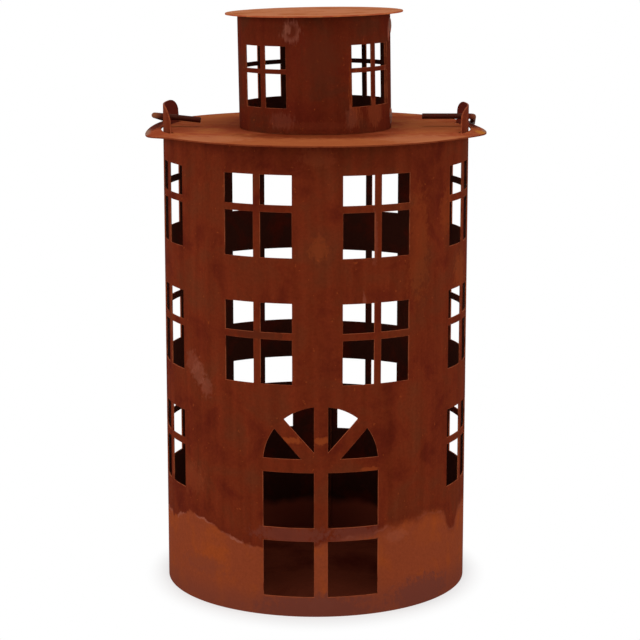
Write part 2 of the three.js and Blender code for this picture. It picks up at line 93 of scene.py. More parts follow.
# Ears: side, height above the lid, reach to the front and to the rear, half axes of the two corners
EARS = (
    (-1, 17 * MM, 39.4 * MM, 40.2 * MM, (23 * MM, 12 * MM), (16 * MM, 9 * MM)),
    (1, 16.2 * MM, 39 * MM, 33.8 * MM, (18 * MM, 6.5 * MM), (15 * MM, 8 * MM)),
)
EAR_TAPER = 1.2 * MM
EAR_CORNER_CUTS = 9
EAR_HOLE_RADIUS = 4.2 * MM
EAR_HOLE_CUTS = 28

# Where the lid's overhang is bent down: azimuth, drop at the rim, and spread to each side in degrees
RIM_DROPS = ((-84, 3.8 * MM, 35), (94, 2.8 * MM, 42))
SLOT_INNER_GAP = 1.2 * MM
SLOT_OUTER_GAP = 1.4 * MM
SLOT_END_GAP = 1.5 * MM
RIM_RINGS = 4

# Steps of the bail's half circle and of its corners
CROWN_STEPS = 96
BEND_STEPS = 10

# Weld beads: half lengths along the joint, out from it and up it
CORNER_BEAD = (5 * MM, 3.2 * MM, 2.8 * MM)
SEAM_BEAD = (2.6 * MM, 1.5 * MM, 6 * MM)
CORNER_BEADS = 4
FLOOR_BEAD_TURN = 30
TURRET_BEAD_TURN = -30
# Welds that lean with the turret
LEANING_WELDS = ("roof_weld", "turret_seam_weld")
# Beads of a seam: their number, and how far in from the seam's ends the outer ones sit
TOWER_SEAM_BEADS = (4, 12.3 * MM)
TURRET_SEAM_BEADS = (2, 8.6 * MM)
BEAD_PLAY = 0.04 * MM
# A bead's smooth core, its ripples and its lumps, as shares of its size, and how closely those follow
BEAD_CORE = 0.9
BEAD_RIPPLE = 0.05
BEAD_LUMP = 0.14
BEAD_RIPPLES = 5
BEAD_LUMPS = 1.7

# Rounding of sheared edges, and the widest and the narrowest strip between the lines of a rolled sheet
EDGE_ROUND = 0.14 * MM
ROLL_STEP = 3.2 * MM
NARROWEST_STRIP = 0.4 * MM
# The bend from which an edge is shaded sharp
SHARP_ANGLE = radians(20)
# How far off a cut a point still counts as on it, and how close together points are merged
TINY = 1e-6
SAME_PLACE = 1e-5

# The UV map that keeps a rolled wall's places on its flat sheet
FLAT_SHEET = "flat_sheet"

# Material slots of a sheet
OUTSIDE, INSIDE, CUT_EDGE = 0, 1, 2


def length(name, description, default):
    """A property that holds a length, given in millimetres."""
    return FloatProperty(name=name, description=description, default=default * MM, unit="LENGTH")


def tilt(name, description, default):
    """A property that holds an angle, given in degrees."""
    return FloatProperty(name=name, description=description, default=radians(default), subtype="ANGLE")


def linear(code):
    """The linear colour of an sRGB hex value."""
    shares = [int(code[start:start + 2], 16) / 255 for start in (0, 2, 4)]
    return tuple(share / 12.92 if share < 0.04045 else ((share + 0.055) / 1.055) ** 2.4 for share in shares)


def colour(name, description, code):
    """A property that holds a colour, given as sRGB hex."""
    return FloatVectorProperty(name=name, description=description, default=linear(code), size=3,
                               min=0, max=1, subtype="COLOR")


class TowerSizes(bpy.types.PropertyGroup):
    radius: length("Radius", "Outside radius of the tower wall", 108)
    height: length("Height", "Height of the wall without its ears", 325.7)
    lap: length("Seam lap", "Overlap of the rolled sheet's ends", 12)
    window_width: length("Window width", "Width of a tower window", 49.5)
    mullion: length("Mullion", "Width of a window's upright bar", 5)
    transom: length("Transom", "Height of a window's level bar", 4.8)
    lower_pane: length("Lower pane", "Height of a window's lower panes", 30.8)
    upper_pane: length("Upper pane", "Height of a window's upper panes", 20.2)


class DoorSizes(bpy.types.PropertyGroup):
    azimuth: FloatProperty(name="Azimuth", description="Where the door's middle is, in degrees", default=1.85)
    half_width: length("Half width", "Half the door's width, which is also its arch's radius", 40.5)
    sill: length("Sill", "Height of the door's sill", 14)
    spring: length("Spring line", "Height at which the arch starts", 108)
    bar: length("Bar", "Width of the door's bars", 9.5)
    low_rail_drop: length("Low rail drop", "Low rail's middle below the spring line", 49.6)
    high_rail_drop: length("High rail drop", "High rail's middle below the spring line", 1)
    fan_drop: length("Fan drop", "Centre of the fan's bars below the spring line", 4)
    fan_angle: tilt("Fan angle", "Lean of the fan's bars from upright", 42)
    arch_cuts: IntProperty(name="Arch cuts", description="Straight cuts that make the arch", default=40)


class LidSizes(bpy.types.PropertyGroup):
    overhang: length("Overhang", "Lid's reach past the tower wall", 12.7)
    vent_radius: length("Vent radius", "Radius of the hole under the turret", 40)
    sectors: IntProperty(name="Sectors", description="Sectors of the lid and of the roof", default=192)


class TurretSizes(bpy.types.PropertyGroup):
    radius: length("Radius", "Outside radius of the turret", 54)
    height: length("Height", "Height of the turret's wall", 80)
    seam_azimuth: FloatProperty(name="Seam azimuth", description="Where the turret's sheet laps, in degrees",
                                default=76)
    lap: length("Seam lap", "Overlap of the turret sheet's ends", 8)
    windows: IntProperty(name="Windows", description="Number of windows round the turret", default=4)
    window_turn: FloatProperty(name="Window turn", description="Azimuth of the first window, in degrees",
                               default=48.2)
    window_width: length("Window width", "Width of a turret window", 38.1)
    mullion: length("Mullion", "Width of a window's upright bar", 4.2)
    transom: length("Transom", "Height of a window's level bar", 3.2)
    lower_pane: length("Lower pane", "Height of the lower panes", 23.4)
    upper_pane: length("Upper pane", "Height of the upper panes", 15.7)
    sill: length("Sill", "Height of the sills above the lid", 18.1)
    lean: tilt("Lean", "Lean of the turret to the left", 0.95)
    roof_overhang: length("Roof overhang", "Roof's reach past the turret's wall", 8.5)


class BailSizes(bpy.types.PropertyGroup):
    wire_radius: length("Wire radius", "Radius of the bail's wire", 2)
    pin_left: length("Left pin", "Length of the wire's left end", 33.7)
    pin_right: length("Right pin", "Length of the wire's right end", 36.3)
    above_lid: length("Above lid", "Height of the pins above the lid", 7.7)
    droop: tilt("Left droop", "How far the left pin points down", 6)
    side_play: length("Side play", "Gap between the tower's side and an arm", 3.3)
    shift: length("Shift", "How far the bail sits to one side", -1.8)
    arm: length("Arm", "Length of the straight arms", 64)
    lean: length("Lean", "How far the arms lean to one side", 4)
    twist: length("Twist", "How far the right arm lies below the left one", 3)
    bend: length("Bend", "Radius of the wire's corners", 5)
    sides: IntProperty(name="Sides", description="Sides of the wire's section", default=20)


class RustColours(bpy.types.PropertyGroup):
    wall: colour("Wall rust", "Even dark rust of the walls", "5e210e")
    wall_deep: colour("Deep wall rust", "Darkest clouds of the walls", "50180b")
    wall_brown: colour("Brown wall rust", "Browner clouds of the walls", "582411")
    foot: colour("Foot rust", "Lighter rust below the tide line", "76341c")
    foot_orange: colour("Foot orange", "Orange clouds below the tide line", "803817")
    foot_purple: colour("Foot purple", "Purple-brown clouds below the tide line", "602f24")
    # The lid's tones are the walls' rust painted lighter: painted light, for the light that falls on the top
    lid: colour("Lid rust", "Orange-brown rust of the lid", "98472a")
    lid_deep: colour("Deep lid rust", "Redder clouds of the lid", "8a3b20")
    # Paler rust of the lid, also painted along its front as a painted sheen
    lid_pale: colour("Pale lid rust", "Paler worn band of the lid", "a65b31")
    # Crust and painted shade round the turret's foot, and the turret's painted shadow in front
    lid_crust_and_shade: colour("Lid crust", "Dark crust on the lid round the turret's foot", "5c1f08")
    lid_edge: colour("Lid edge", "Darker rust of the lid's cut edge", "6e3019")
    # Painted shade, dark purplish, on the rear of the lid's ends beside the ears
    lid_end_shade: colour("Lid purple", "Dark purplish rust at the lid's ends", "5a2420")
    # A greyish tone on the lid's outermost rim
    lid_rim_grey: colour("Lid grime", "Greyish grime on the lid's outermost rim", "8c7c6c")
    lid_yellow: colour("Lid yellow", "Yellowish rust near the lid's right end", "b8752c")
    # The roof's rust is painted lighter still, as painted light on its top
    roof: colour("Roof rust", "Light orange-brown rust of the turret's roof", "b7714c")
    # The inside colour is painted dark: painted shade of the unlit insides and undersides
    inside: colour("Inside rust", "Dark rust inside the walls", "3c1b12")
    # The floor plate's redder rust, also painted low inside as the light that falls in through the door
    inside_damp: colour("Damp inside", "Redder rust inside, near the floor", "74321f")
    ear_inside: colour("Ear inside", "Redder rust on the inner faces of the ears", "853628")
    # Painted brighter: a painted highlight along sheared edges
    edge: colour("Sheared edge", "Brighter rust of sheared edges", "8a4327")
    scuff: colour("Scuffs", "Paler, pinkish marks and crusts", "8e5240")
    turret: colour("Turret rust", "Dark rust of the turret", "541c0c")
    turret_brown: colour("Brown turret rust", "Browner clouds of the turret", "4b1e0f")
    wire: colour("Wire", "Dark brown scale of the wire", "431c10")
    wire_worn: colour("Worn wire", "Orange rust where the wire rubs", "7a4426")
    weld: colour("Weld scale", "Greyish scale of the welds", "6c463a")


class StageSettings(bpy.types.PropertyGroup):
    camera_back: length("Camera distance", "Camera's distance in front of the tower's axis", 1518.03)
    camera_height: length("Camera height", "Camera's height above the floor", 485.36)
    camera_pitch: tilt("Camera pitch", "How far the camera looks down", 11.11)
    camera_lens: FloatProperty(name="Camera lens", description="Focal length in millimetres", default=120.63)
    camera_shift: FloatProperty(name="Camera shift", description="Sideways shift of the picture",
                                default=0.0064)
    ambient: FloatProperty(name="Ambient", description="Strength of the even light all round", default=0.3)
    backdrop: FloatProperty(name="Backdrop", description="Whiteness of what the camera sees behind",
                            default=1.0)
    floor_colour: colour("Floor", "Colour of the floor", "e6e6e6")
    floor_glow: FloatProperty(name="Floor whiteness", default=0.4, subtype="FACTOR",
                              description="Share of the floor that stays white in shade")


class LanternSettings(bpy.types.PropertyGroup):
    tower: PointerProperty(type=TowerSizes, name="Tower", description="Sizes of the tower's wall")
    door: PointerProperty(type=DoorSizes, name="Door", description="Sizes of the door and its bars")
    lid: PointerProperty(type=LidSizes, name="Lid", description="Sizes of the lid")
    turret: PointerProperty(type=TurretSizes, name="Turret", description="Sizes of the turret and its roof")
    bail: PointerProperty(type=BailSizes, name="Bail", description="Sizes of the wire bail")
    rust: PointerProperty(type=RustColours, name="Rust", description="Colours of the rust")
    stage: PointerProperty(type=StageSettings, name="Stage", description="Floor, light and camera")


# Places round the upright axis


def along_sheet(radius, azimuth, seam):
    """Where an azimuth lies on the flat sheet, measured from its seam."""
    return radius * radians((azimuth - seam) % 360)


def plan_point(radius, azimuth, height):
    """The point at an azimuth round the upright axis."""
    angle = radians(azimuth)
    return Vector((radius * sin(angle), -radius * cos(angle), height))


def facing(azimuth, radius, height):
    """A frame that stands at an azimuth: X runs along the wall, Y up, and Z out from the axis."""
    angle = radians(azimuth)
    along = Vector((cos(angle), sin(angle), 0))
    out = Vector((sin(angle), -cos(angle), 0))
    turn = Matrix((along, Vector((0, 0, 1)), out)).transposed().to_4x4()
    return Matrix.Translation(out * radius + Vector((0, 0, height))) @ turn


def lid_top():
    return settings().tower.height + SHEET


def pin_height():
    return lid_top() + settings().bail.above_lid


def leaning():
    """The frame of the leaning turret, which stands on the lid."""
    turn = Matrix.Rotation(-settings().turret.lean, 4, "Y")
    return Matrix.Translation((0, 0, lid_top())) @ turn


def move(bm, matrix):
    """Moves all of a mesh."""
    bmesh.ops.transform(bm, matrix=matrix, verts=bm.verts)


def settings():
    return bpy.context.scene.lantern


# Cutting a flat sheet


def split(bm, faces, point, across):
    """Cuts faces along a plane and returns the faces that this leaves of them."""
    edges = dict.fromkeys(edge for face in faces for edge in face.edges)
    verts = dict.fromkeys(vert for face in faces for vert in face.verts)
    cut = bmesh.ops.bisect_plane(bm, geom=[*faces, *edges, *verts], dist=TINY, plane_co=point,
                                 plane_no=across)
    return [item for item in cut["geom"] if isinstance(item, bmesh.types.BMFace)]


def cut_free(bm, faces, sides):
    """Cuts faces along straight sides and returns what lies within all of them. A side is a point and the
    direction that points out of the shape."""
    inside = list(faces)
    for point, outwards in sides:
        pieces = split(bm, inside, point, outwards)
        inside = [face for face in pieces if (face.calc_center_median() - point).dot(outwards) < 0]
    return inside


def flat(along, up):
    """A point on the flat sheet, which lies in the XZ plane with its outer face towards -Y."""
    return Vector((along, 0, up))


def rectangle(left, bottom, right, top):
    """The four sides of an upright rectangle on the flat sheet."""
    return [
        (flat(left, bottom), flat(-1, 0)),
        (flat(right, bottom), flat(1, 0)),
        (flat(left, bottom), flat(0, -1)),
        (flat(left, top), flat(0, 1)),
    ]


def round_sides(centre, radius, turn, count):
    """Tangents that cut a round edge, from straight right through an angle."""
    angles = [turn * (step + 0.5) / count for step in range(count)]
    directions = [flat(cos(angle), sin(angle)) for angle in angles]
    return [(centre + direction * radius, direction) for direction in directions]


def outline_sides(points):
    """The sides of a convex outline given by its corners."""
    middle = sum(points, Vector()) / len(points)
    sides = []
    for start, end in zip(points, points[1:] + points[:1]):
        run = end - start
        outwards = flat(run.z, -run.x).normalized()
        if outwards.dot(start - middle) < 0:
            outwards.negate()
        sides.append((start, outwards))
    return sides


def faces_near(bm, middle, reach):
    """Faces of the flat sheet that a shape round a middle can touch."""
    found = []
    for face in bm.faces:
        across = [vert.co.x - middle.x for vert in face.verts]
        up = [vert.co.z - middle.z for vert in face.verts]
        if max(across) > -reach and min(across) < reach and max(up) > -reach and min(up) < reach:
            found.append(face)
    return found


def cut_out(bm, sides):
    """Cuts an opening in the flat sheet."""
    points = [point for point, _ in sides]
    middle = sum(points, Vector()) / len(points)
    reach = max((point - middle).length for point in points)
    waste = cut_free(bm, faces_near(bm, middle, reach), sides)
    bmesh.ops.delete(bm, geom=waste, context="FACES")


def blank(left, bottom, right, top):
    """A plain rectangle of sheet, not cut yet."""
    bm = bmesh.new()
    spread = Matrix.Diagonal((right - left, 1, top - bottom, 1))
    place = Matrix.Translation(((left + right) / 2, 0, (bottom + top) / 2))
    bmesh.ops.create_grid(bm, x_segments=1, y_segments=1, size=0.5,
                          matrix=place @ spread @ Matrix.Rotation(pi / 2, 4, "X"))
    return bm


def window_panes(middle, sill, sizes):
    """The four panes of a window, from its sill up."""
    edge = sizes.window_width / 2
    bar = sizes.mullion / 2
    rail = sill + sizes.lower_pane
    upper = rail + sizes.transom
    top = upper + sizes.upper_pane
    return [
        rectangle(middle + left, low, middle + right, high)
        for left, right in ((-edge, -bar), (bar, edge))
        for low, high in ((sill, rail), (upper, top))
    ]


def door_panes(middle, door):
    """Panes of the door between its bars: four upright ones below the fan, and four in the fan."""
    half = door.bar / 2
    low = door.spring - door.low_rail_drop
    high = door.spring - door.high_rail_drop
    centre = flat(middle, door.spring)
    arch = round_sides(centre, door.half_width, pi, door.arch_cuts)
    fan = flat(middle, door.spring - door.fan_drop)
    panes = []
    for side in (-1, 1):
        left, right = sorted((side * half, side * door.half_width))
        for bottom, top in ((door.sill, low - half), (low + half, high - half)):
            panes.append(rectangle(middle + left, bottom, middle + right, top))
        across = flat(side * cos(door.fan_angle), -sin(door.fan_angle))
        rail_top = (flat(middle, high + half), flat(0, -1))
        panes.append([rail_top, (fan + across * half, -across), *arch])
        mullion = (flat(middle + side * half, 0), flat(-side, 0))
        panes.append([mullion, (fan - across * half, across), *arch])
    return panes


def meets_door(azimuth, sill, tower, door):
    """Whether a window would meet the door, so that its column starts one row higher."""
    apart = tower.radius * radians(abs(azimuth - door.azimuth)) - tower.window_width / 2 - door.half_width
    return apart < 0 and sill < door.spring + door.half_width


def ear_outline(ear, tower):
    """Corners of an ear on the flat sheet: a tapered tongue with rounded shoulders."""
    side, above, front, rear, front_corner, rear_corner = ear
    top = lid_top() + above
    points = []
    for end, reach, (corner_along, corner_up) in ((1, rear, rear_corner), (-1, front, front_corner)):
        shoulder = reach - EAR_TAPER - corner_along
        steps = range(EAR_CORNER_CUTS + 1)
        turns = [pi / 2 * step / EAR_CORNER_CUTS for step in steps]
        rounded = [(end * (shoulder + corner_along * cos(turn)), top - corner_up + corner_up * sin(turn))
                   for turn in turns]
        run = [(end * reach, tower.height - SHEET), (end * reach, lid_top()), *rounded]
        points += run if end > 0 else reversed(run)
    outline = []
    for rearwards, up in points:
        azimuth = side * (90 + degrees(asin(rearwards / tower.radius)))
        outline.append(flat(along_sheet(tower.radius, azimuth, TOWER_SEAM_AZIMUTH), up))
    return outline


def tower_blank(tower, door):
    """The tower's sheet, cut flat: its ears, windows, door and pin holes."""
    ear_top = lid_top() + max(ear[1] for ear in EARS)
    bm = blank(-tower.lap, 0, 2 * pi * tower.radius, ear_top)
    split(bm, bm.faces, (0, 0, tower.height), (0, 0, 1))
    # Until the sheet is thickened, the INSIDE slot marks what stays of it above the wall
    for ear in EARS:
        above = [face for face in bm.faces if face.calc_center_median().z > tower.height]
        for face in cut_free(bm, above, outline_sides(ear_outline(ear, tower))):
            face.material_index = INSIDE
    waste = [face for face in bm.faces
             if face.calc_center_median().z > tower.height and face.material_index != INSIDE]
    bmesh.ops.delete(bm, geom=waste, context="FACES")
    for azimuth, rise in WINDOW_COLUMNS:
        middle = along_sheet(tower.radius, azimuth, TOWER_SEAM_AZIMUTH)
        for drop in WINDOW_SILL_DROPS:
            sill = tower.height - drop
            if not meets_door(azimuth, sill, tower, door):
                for pane in window_panes(middle, sill + rise, tower):
                    cut_out(bm, pane)
    for pane in door_panes(along_sheet(tower.radius, door.azimuth, TOWER_SEAM_AZIMUTH), door):
        cut_out(bm, pane)
    hole_height = pin_height() - settings().bail.wire_radius - SEAT_GAP + EAR_HOLE_RADIUS
    for side in (-1, 1):
        middle = along_sheet(tower.radius, side * 90, TOWER_SEAM_AZIMUTH)
        cut_out(bm, round_sides(flat(middle, hole_height), EAR_HOLE_RADIUS, 2 * pi, EAR_HOLE_CUTS))
    return bm


def turret_blank(turret):
    """The turret's sheet, cut flat: four windows."""
    bm = blank(-turret.lap, 0, 2 * pi * turret.radius, turret.height)
    for index in range(turret.windows):
        azimuth = turret.window_turn + 360 * index / turret.windows
        middle = along_sheet(turret.radius, azimuth, turret.seam_azimuth)
        for pane in window_panes(middle, turret.sill, turret):
            cut_out(bm, pane)
    return bm


# From a flat sheet to a finished one


def score_roll_lines(bm):
    """Cuts upright lines that the sheet bends along, one at each upright edge and some evenly between."""
    upright = [edge for edge in bm.edges if abs(edge.verts[0].co.x - edge.verts[1].co.x) < TINY]
    marks = sorted({round(edge.verts[0].co.x, 6) for edge in upright})
    kept = [mark for mark, later in zip(marks, marks[1:] + [None])
            if later is None or later - mark > NARROWEST_STRIP]
    for start, end in zip(kept, kept[1:]):
        count = ceil((end - start) / ROLL_STEP)
        for step in range(count):
            line = start + (end - start) * step / count
            split(bm, bm.faces, (line, 0, 0), (1, 0, 0))


def thicken(bm, inwards):
    """Gives a sheet its thickness and a material slot for its outside, its inside and its sheared edges."""
    bmesh.ops.remove_doubles(bm, verts=bm.verts, dist=SAME_PLACE)
    skin = bmesh.ops.extrude_face_region(bm, geom=bm.faces[:])
    moved = [item for item in skin["geom"] if isinstance(item, bmesh.types.BMVert)]
    bmesh.ops.translate(bm, vec=inwards * SHEET, verts=moved)
    bmesh.ops.recalc_face_normals(bm, faces=bm.faces)
    for face in bm.faces:
        lean = face.normal.dot(inwards)
        face.material_index = OUTSIDE if lean < -0.5 else INSIDE if lean > 0.5 else CUT_EDGE


def round_edges(bm):
    """Takes the sharpness off the sheared edges."""
    sheared = []
    for edge in bm.edges:
        slots = {face.material_index for face in edge.link_faces}
        if len(slots) == 2 and CUT_EDGE in slots:
            sheared.append(edge)
    # The rounding goes to the slot of the sheared edges, and so takes their painted highlight
    bmesh.ops.bevel(bm, geom=sheared, offset=EDGE_ROUND, segments=2, profile=0.5, affect="EDGES",
                    clamp_overlap=False, material=CUT_EDGE)


def roll(bm, radius, seam):
    """Rolls the flat sheet to a ring. Its ends lap, and the under end dips one sheet inwards. Its UV map
    keeps the flat places, measured along from the door side."""
    sheet = bm.loops.layers.uv.new(FLAT_SHEET)
    door_side = radius * radians(seam - 360)
    for face in bm.faces:
        for loop in face.loops:
            loop[sheet].uv = (loop.vert.co.x + door_side, loop.vert.co.z)
    for vert in bm.verts:
        turned = degrees(vert.co.x / radius)
        dip = min(1, max(0, 1 - turned / LAP_BLEND))
        outer = radius - (SHEET + LAP_PLAY) * dip
        vert.co = plan_point(outer - vert.co.y, seam + turned, vert.co.z)


def roll_up(bm, radius, seam):
    """Makes a rolled wall of a sheet that is cut flat."""
    score_roll_lines(bm)
    thicken(bm, Vector((0, 1, 0)))
    round_edges(bm)
    roll(bm, radius, seam)


def soften(bm):
    """Shades a mesh smooth, apart from its corners."""
    for face in bm.faces:
        face.smooth = True
    for edge in bm.edges:
        edge.smooth = len(edge.link_faces) == 2 and edge.calc_face_angle(pi) < SHARP_ANGLE


def in_scene(name, data):
    """A new object in the scene."""
    item = bpy.data.objects.new(name, data)
    bpy.context.scene.collection.objects.link(item)
    return item


def finished(name, bm, body, nodes, materials):
    """Turns a bmesh into a piece that rides on a body and stands for its CAD nodes."""
    soften(bm)
    mesh = bpy.data.meshes.new(name)
    bm.to_mesh(mesh)
    bm.free()
    for material in materials:
        mesh.materials.append(material)
    piece = in_scene(name, mesh)
    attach(piece, body)
    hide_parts(*nodes)


# Plates


def spun_disc(radii, sectors, height):
    """A flat disc or ring, spun from the radii of its rings."""
    bm = bmesh.new()
    verts = [bm.verts.new((radius, 0, height)) for radius in radii]
    edges = [bm.edges.new(pair) for pair in zip(verts, verts[1:])]
    bmesh.ops.spin(bm, geom=[*verts, *edges], cent=(0, 0, 0), axis=(0, 0, 1), angle=2 * pi,
                   steps=sectors, use_merge=True)
    bmesh.ops.remove_doubles(bm, verts=bm.verts, dist=SAME_PLACE)
    return bm


def cut_ear_slot(bm, ear, inner, outer, inside_radius):
    """Cuts the arc slot that an ear comes up through."""
    side, _, front, rear, _, _ = ear
    first = 90 - degrees(asin((front + SLOT_END_GAP) / inside_radius))
    last = 90 + degrees(asin((rear + SLOT_END_GAP) / inside_radius))
    low, high = sorted((side * first, side * last))
    ring = []
    for face in bm.faces:
        middle = face.calc_center_median()
        if inner < hypot(middle.x, middle.y) < outer and middle.x * side > 0:
            ring.append(face)
    ends = []
    for azimuth, outwards in ((low, -1), (high, 1)):
        tangent = Vector((cos(radians(azimuth)), sin(radians(azimuth)), 0))
        ends.append((Vector(), tangent * outwards))
    bmesh.ops.delete(bm, geom=cut_free(bm, ring, ends), context="FACES")


def rim_drop(radius, azimuth, tower, lid):
    """How far the lid's overhang is bent down at a point."""
    out = max(0, (radius - tower.radius) / lid.overhang)
    drop = 0
    for middle, deepest, spread in RIM_DROPS:
        turn = min(abs(azimuth - middle) / spread, 1)
        drop += deepest * out * cos(turn * pi / 2) ** 2
    return drop


def lid_mesh(tower, lid):
    """The lid, spun flat, slotted for the ears and bent down beside them."""
    rim = tower.radius + lid.overhang
    inner = tower.radius - SHEET - SLOT_INNER_GAP
    outer = tower.radius + SLOT_OUTER_GAP
    inside = [lid.vent_radius + (inner - lid.vent_radius) * step / RIM_RINGS for step in range(RIM_RINGS)]
    overhang = [outer + (rim - outer) * step / RIM_RINGS for step in range(RIM_RINGS + 1)]
    bm = spun_disc([*inside, inner, tower.radius, *overhang], lid.sectors, lid_top())
    for ear in EARS:
        cut_ear_slot(bm, ear, inner, outer, tower.radius - SHEET)
    thicken(bm, Vector((0, 0, -1)))
    round_edges(bm)
    for vert in bm.verts:
        azimuth = degrees(atan2(vert.co.x, -vert.co.y))
        vert.co.z -= rim_drop(hypot(vert.co.x, vert.co.y), azimuth, tower, lid)
    return bm


def roof_mesh(turret, lid):
    """The turret's roof, which leans with the turret."""
    rim = turret.radius + turret.roof_overhang
    height = turret.height + SEAT_GAP + SHEET
    bm = spun_disc([rim * step / RIM_RINGS for step in range(RIM_RINGS + 1)], lid.sectors, height)
    thicken(bm, Vector((0, 0, -1)))
    round_edges(bm)
    move(bm, leaning())
    return bm


# Bail


def corner_stations(corner, start, end, radius, steps):
    """Points round the corner where the wire turns from one straight run to the next."""
    incoming = (start - corner).normalized()
    outgoing = (end - corner).normalized()
    half_angle = incoming.angle(outgoing) / 2
    middle = (incoming + outgoing).normalized()
    centre = corner + middle * (radius / sin(half_angle))
    first = corner + incoming * (radius / tan(half_angle)) - centre
    last = corner + outgoing * (radius / tan(half_angle)) - centre
    axis = first.cross(last).normalized()
    turn = first.angle(last)
    return [centre + Matrix.Rotation(turn * step / steps, 3, axis) @ first for step in range(steps + 1)]


def twist_drop(side, bail):
    """How far the twisted bail lies below its own plane, from its left side to its right side."""
    return bail.twist * (1 + side) / 2


def arm_reach(bail, tower):
    """How far out from the tower's axis the wire runs."""
    return tower.radius + bail.side_play + bail.wire_radius


def bail_end(side, pin, droop, bail, tower):
    """One end of the wire: the pin through the ear, and the corner into the arm."""
    ear = Vector((side * (tower.radius - SHEET / 2), 0, 0))
    inwards = Vector((-side * cos(droop), 0, -sin(droop)))
    arm_x = side * arm_reach(bail, tower) + bail.shift
    corner = ear - inwards * (abs(arm_x - ear.x) / cos(droop))
    tip = corner + inwards * pin
    shoulder = Vector((arm_x + bail.lean, bail.arm, -twist_drop(side, bail)))
    return [tip, *corner_stations(corner, tip, shoulder, bail.bend, BEND_STEPS)]


def bail_stations(bail, tower):
    """The wire's line, in the bail's own plane: +Y runs out along the arms."""
    crown = arm_reach(bail, tower)
    stations = bail_end(-1, bail.pin_left, bail.droop, bail, tower)
    for step in range(CROWN_STEPS + 1):
        angle = pi * (1 - step / CROWN_STEPS)
        across = bail.shift + bail.lean + crown * cos(angle)
        stations.append(Vector((across, bail.arm + crown * sin(angle), -twist_drop(cos(angle), bail))))
    return stations + bail_end(1, bail.pin_right, 0, bail, tower)[::-1]


def arm_slope(side, bail, tower, lid):
    """Slope at which an arm would lie on the lid's rim, where it crosses the rim."""
    rim = tower.radius + lid.overhang
    start = side * arm_reach(bail, tower) + bail.shift
    lean = bail.lean / bail.arm
    reach = sqrt((start * lean) ** 2 - (1 + lean ** 2) * (start ** 2 - rim ** 2))
    rim_y = (reach - start * lean) / (1 + lean ** 2)
    azimuth = degrees(atan2(start + lean * rim_y, -rim_y))
    fall = bail.above_lid - bail.wire_radius - SEAT_GAP + rim_drop(rim, azimuth, tower, lid)
    return atan2(fall, rim_y) - atan2(twist_drop(side, bail), bail.arm)


def swept_wire(stations, radius, sides):
    """A round wire drawn along its stations, with snipped and slightly rounded ends."""
    bm = bmesh.new()
    runs = [(later - earlier).normalized() for earlier, later in zip(stations, stations[1:])]
    headings = [runs[0], *[(a + b).normalized() for a, b in zip(runs, runs[1:])], runs[-1]]
    start = Vector((0, 0, 1)).rotation_difference(headings[0]).to_matrix().to_4x4()
    ring = bmesh.ops.create_circle(bm, cap_ends=True, segments=sides, radius=radius,
                                   matrix=Matrix.Translation(stations[0]) @ start)["verts"]
    edges = [edge for edge in bm.edges if edge.verts[0] in ring and edge.verts[1] in ring]
    first_edges = edges
    for index in range(1, len(stations)):
        grown = bmesh.ops.extrude_edge_only(bm, edges=edges)["geom"]
        verts = [item for item in grown if isinstance(item, bmesh.types.BMVert)]
        edges = [item for item in grown if isinstance(item, bmesh.types.BMEdge)
                 and item.verts[0] in verts and item.verts[1] in verts]
        turn = headings[index - 1].rotation_difference(headings[index]).to_matrix()
        bmesh.ops.rotate(bm, cent=stations[index - 1], matrix=turn, verts=verts)
        bmesh.ops.translate(bm, vec=stations[index] - stations[index - 1], verts=verts)
    bmesh.ops.contextual_create(bm, geom=edges)
    bmesh.ops.bevel(bm, geom=[*first_edges, *edges], offset=radius / 4, segments=3, profile=0.5,
                    affect="EDGES", material=-1)
    bmesh.ops.recalc_face_normals(bm, faces=bm.faces)
    return bm


# Weld beads


def blob(along, out, up, seed):
    """A rippled blob of weld metal: X along the joint, Y up and Z out."""
    bm = bmesh.new()
    bmesh.ops.create_icosphere(bm, subdivisions=4, radius=1)
    for vert in bm.verts:
        ripple = BEAD_RIPPLE * cos(vert.co.x * BEAD_RIPPLES * pi / 2)
        lump = BEAD_LUMP * noise.noise(vert.co * BEAD_LUMPS + Vector((seed, 0, 0)))
        vert.co *= BEAD_CORE + ripple + lump
    bmesh.ops.scale(bm, vec=(along, up, out), verts=bm.verts)
    return bm


def set_reach(vert, reach):
    """Moves a vertex level, to a distance from the upright axis."""
    share = reach / hypot(vert.co.x, vert.co.y)
    vert.co.x *= share
    vert.co.y *= share


def corner_bead(azimuth, inside, plate, up, seed):
    """A bead in the corner between the inside of a round wall and a plate below or above it."""
    bm = blob(*CORNER_BEAD, seed)
    move(bm, facing(azimuth, inside - BEAD_PLAY, plate))
    for vert in bm.verts:
        if hypot(vert.co.x, vert.co.y) > inside - BEAD_PLAY:
            set_reach(vert, inside - BEAD_PLAY)
        if (vert.co.z - plate) * up < BEAD_PLAY:
            vert.co.z = plate + BEAD_PLAY * up
    return bm


def seam_bead(radius, seam, height, seed):
    """A bead in the step where the outer end of a rolled sheet stops."""
    across, out, up = SEAM_BEAD
    bm = blob(up, out, across, seed)
    bmesh.ops.rotate(bm, cent=(0, 0, 0), matrix=Matrix.Rotation(pi / 2, 3, "Z"), verts=bm.verts)
    move(bm, facing(seam, radius, height))
    for vert in bm.verts:
        turned = (degrees(atan2(vert.co.x, -vert.co.y)) - seam + 180) % 360 - 180
        surface = radius if turned < 0 else radius - SHEET * (1 - turned / LAP_BLEND)
        if hypot(vert.co.x, vert.co.y) < surface + BEAD_PLAY:
            set_reach(vert, surface + BEAD_PLAY)
    return bm


# Materials

